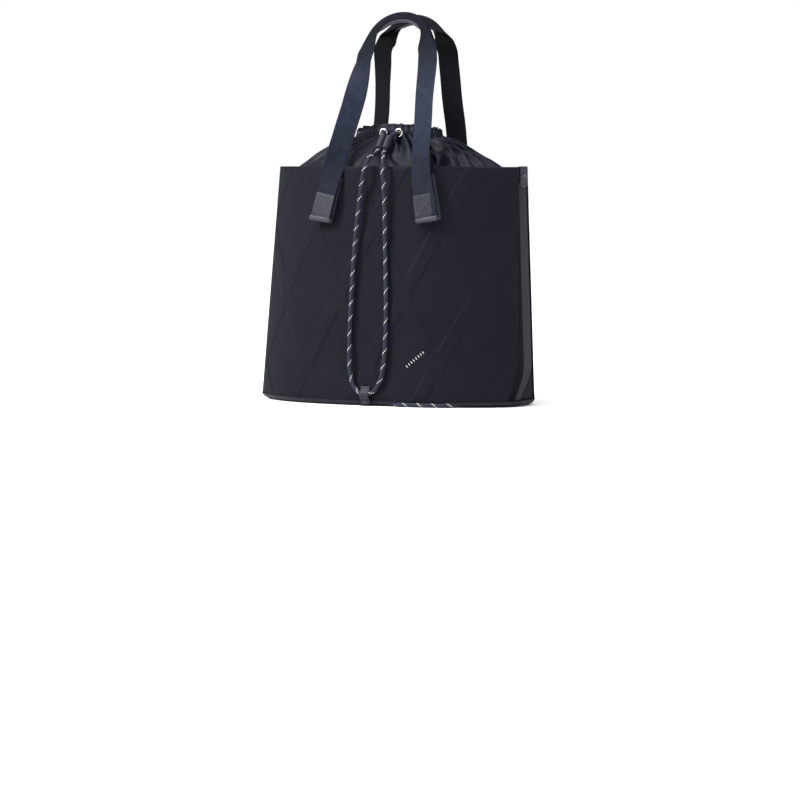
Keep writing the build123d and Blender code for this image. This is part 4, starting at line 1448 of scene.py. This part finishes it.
# --- Slider, keeper, tabs, eyelets --------------------------------------------------------------
def make_slider():
    """Two stitched leather tubes side by side that grip the drawcord."""
    first = Vector((1, 0, 0))
    first = (first - SLIDER_AXIS * first.dot(SLIDER_AXIS)).normalized()
    second = SLIDER_AXIS.cross(first)
    points, faces = [], []
    sides = 30
    lip = [(0.465, SLIDER_TUBE), (0.49, SLIDER_TUBE - 0.35), (0.5, SLIDER_TUBE - 0.9), (0.5, SLIDER_BORE)]
    profile = [(-place, radius) for place, radius in reversed(lip)]
    profile += [(place, SLIDER_TUBE) for place in np.linspace(-0.36, 0.36, 7)]
    profile += lip
    for side in (-1, 1):
        base = len(points)
        for share_along, radius in profile:
            spot = SLIDER_CENTRE + SLIDER_AXIS * (SLIDER_LENGTH * share_along)
            spot = spot + first * (side * SLIDER_PITCH / 2)
            points += ring(spot, first * radius, second * radius, sides)
        faces += shifted(grid_faces(len(profile), sides, wrap_columns=True, wrap_rows=True), base)

    def web(u, v, w):
        pinch = 2.4 - 1.4 * cos(pi * v / SLIDER_PITCH)
        spot = SLIDER_CENTRE + SLIDER_AXIS * (u - SLIDER_LENGTH / 2 + 0.6)
        return spot + first * v + second * (w * pinch / 1.5)

    web_points, web_faces, _ = slab(SLIDER_LENGTH - 1.2, 7.0, 3.0, 0.7, (3.0, 1.0), web)
    faces += shifted(web_faces, len(points))
    new_piece("cord_slider_leather", points + web_points, faces, [LEATHER], "cord_slider",
              ["cord_slider"])
    pairs = []
    for column in (-1.1, 1.1):
        for face in (-1, 1):
            off = first * column + second * (face * 1.9)
            start = SLIDER_CENTRE - SLIDER_AXIS * (SLIDER_LENGTH / 2 - 2.0) + off
            end = SLIDER_CENTRE + SLIDER_AXIS * (SLIDER_LENGTH / 2 - 2.0) + off
            pairs += dashes(start, end, 2.6)
    add_stitches("cord_slider_stitches", pairs, "cord_slider", 0.42)


KEEPER_WIDTH = 18.6
KEEPER_THICK = 1.7


def make_keeper():
    """Leather tab round the bottom of the cord's loop."""
    near = panel_y(True, 0, SEAM_HEIGHT) - 2.4
    middle = Vector(DRAWCORD[len(DRAWCORD) // 2]) / MM
    far = middle.y - CORD_RADIUS - 1.5
    low, high = middle.z - CORD_RADIUS, middle.z + CORD_RADIUS
    controls = [(0, near, 3.3), (0, near - 0.3, low - 8.0), (0, near - 0.6, low - 4.4), (0, far, low - 2.0)]
    controls += [(0, far - 0.2, low + 3.0), (0, far, high + 1.5), (0, near - 1.4, high + 5.5)]
    controls += [(0, near - 0.4, high + 8.5), (0, near + 0.6, high + 12.6)]
    path = even(curve_points("keeper_route", controls_mm(controls), 10), 1.0)
    tangents = np.gradient(path, axis=0)
    total = len(path) - 1

    def place(u, v, w):
        spot = min(total - 1e-6, max(0.0, u))
        index = int(spot)
        centre = Vector(path[index]).lerp(Vector(path[index + 1]), spot - index)
        tangent = Vector(tangents[index]).normalized()
        normal = Vector((1, 0, 0)).cross(tangent).normalized()
        return centre + Vector((v, 0, 0)) + normal * w

    points, faces, _ = slab(float(total), KEEPER_WIDTH, KEEPER_THICK, 0.7, (1.2, 1.6), place)
    new_piece("keeper_leather", points, faces, [LEATHER], "cord_keeper", ["keeper_tab"])
    pairs = []
    for v in (-7.2, 7.2):
        for start in np.arange(3.0, total - 4.0, 3.0):
            for face in (-1, 1):
                pairs.append((place(start, v, face * 0.9), place(start + 2.0, v, face * 0.9)))
    add_stitches("keeper_stitches", pairs, "cord_keeper", 0.3)


TAB_ROUND = 6.5


def make_tab(side):
    """Side tab: a rounded leather tongue over the rim, with a stitched edge."""
    hand = hand_name(side)
    low, high = box_mm(f"{hand}_tab")
    width = high.y - low.y
    length = high.z - low.z
    centre_y = (low.y + high.y) / 2
    mid_x = (low.x + high.x) / 2

    def half_at(u):
        end = max(0.0, u - (length - TAB_ROUND)) / TAB_ROUND
        corner = TAB_ROUND * (1 - sqrt(max(0.0, 1 - end * end)))
        return width / 2 - corner + 0.01

    def place(u, v, w):
        reach = half_at(min(u, length - 0.02)) / (width / 2)
        lean = 0.5 * smooth((6.0 - u) / 6.0)
        return Vector((mid_x + side * (w - lean), centre_y + v * reach, high.z - u))

    points, faces, _ = slab(length, width, high.x - low.x, 0.8, (1.5, 1.6), place)
    if side > 0:
        faces = flipped(faces)
    new_piece(f"{hand}_tab_leather", points, faces, [LEATHER], f"{hand}_side_tab",
              [f"{hand}_tab"])
    pairs = []
    inset = 2.6
    outline = []
    for u in np.linspace(2.0, length - 2.0 - inset, 24):
        outline.append((u, -(half_at(u + 1.0) - inset)))
    for u in np.linspace(length - 2.0 - inset, 2.0, 24):
        outline.append((u, half_at(u + 1.0) - inset))
    face = (high.x - low.x) / 2 + 0.05
    for a, b in zip(outline, outline[1:]):
        start = Vector((mid_x + side * face, centre_y + a[1], high.z - a[0]))
        end = Vector((mid_x + side * face, centre_y + b[1], high.z - b[0]))
        pairs += dashes(start, end, max(2.8, (end - start).length / 3))
    add_stitches(f"{hand}_tab_stitches", pairs, f"{hand}_side_tab", 0.28)


def make_eyelet(side):
    """Rolled metal eyelet with its barrel."""
    hand = hand_name(side)
    low, high = box_mm(f"eyelet_{hand}")
    centre = Vector(((low.x + high.x) / 2, low.y, (low.z + high.z) / 2))
    outer = (high.x - low.x) / 2
    roll = (outer - EYELET_BORE) / 2
    depth = high.y - low.y
    profile = [(EYELET_BORE + 0.2, depth), (EYELET_BORE, depth - 0.6), (EYELET_BORE, roll * 0.9)]
    for step in range(9):
        turn = pi * step / 8
        profile.append((EYELET_BORE + roll - roll * cos(turn), roll * 0.9 - roll * 0.9 * sin(turn)))
    profile += [(outer - 0.3, roll * 0.9 + 0.4), (EYELET_BORE + 1.0, roll * 0.9 + 0.3)]
    profile.append((EYELET_BORE + 0.8, depth))
    sides = 40
    points = []
    for s in range(sides):
        turn = tau * s / sides
        for radius, back in profile:
            x, z = centre.x + radius * cos(turn), centre.z + radius * sin(turn)
            points.append(Vector((x, centre.y + back, z)))
    faces = grid_faces(sides, len(profile), wrap_columns=True, wrap_rows=True)
    new_piece(f"eyelet_{hand}_ring", points, faces, [SILVER], "root", [f"eyelet_{hand}"])


MARKS_RUN = (Vector((78.0, 0, 73.0)), Vector((113.0, 0, 103.0)))
MARKS_COUNT = 8


def make_marks():
    """A short row of pale bar tacks, low on the right of the front."""
    pairs = []
    start, end = MARKS_RUN
    along = (end - start).normalized()
    across = Vector((-along.z, 0, along.x))
    for i in range(MARKS_COUNT):
        middle = start.lerp(end, (i + 0.5) / MARKS_COUNT)
        ends = []
        for sign in (-1, 1):
            spot = middle + across * (2.6 * sign)
            x, y, z = panel_point(True, spot.x, spot.z, 0.0)
            ends.append(Vector((x, y - lattice(x, z) - 0.3, z)))
        pairs.append(ends)
    add_stitches("front_bar_tacks", pairs, "root", 0.75, FLECK)


def dress_cad_nodes():
    """Materials of the CAD pieces that are shown as they are."""
    finishes = {"keeper_foot": LEATHER, "keeper_snap_cap": SNAP}
    for hand in ("left", "right"):
        finishes[f"{hand}_tab_base"] = LEATHER
        finishes[f"{hand}_tab_stud"] = SILVER
        finishes[f"{hand}_tab_snap_cap"] = SNAP
    for node, finish in finishes.items():
        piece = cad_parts[node]
        piece.data.materials.clear()
        piece.data.materials.append(finish)


# --- Build everything ---------------------------------------------------------------------------
add_camera()
add_studio()
make_drawcord()
make_hidden_cord()
make_base_cord()
for is_front in (True, False):
    make_panel(is_front)
    make_facing(is_front)
    grip_steps = make_strap(is_front)
    make_grip_lining(is_front, grip_steps)
    for which_side in (-1, 1):
        make_patch(is_front, which_side)
        make_bar(is_front, which_side)
        make_anchor(is_front, which_side)
for which_side in (-1, 1):
    make_gusset(which_side)
    make_tab(which_side)
    make_eyelet(which_side)
make_base()
seam_tape()
make_collar()
make_hem()
make_slider()
make_keeper()
make_marks()
dress_cad_nodes()
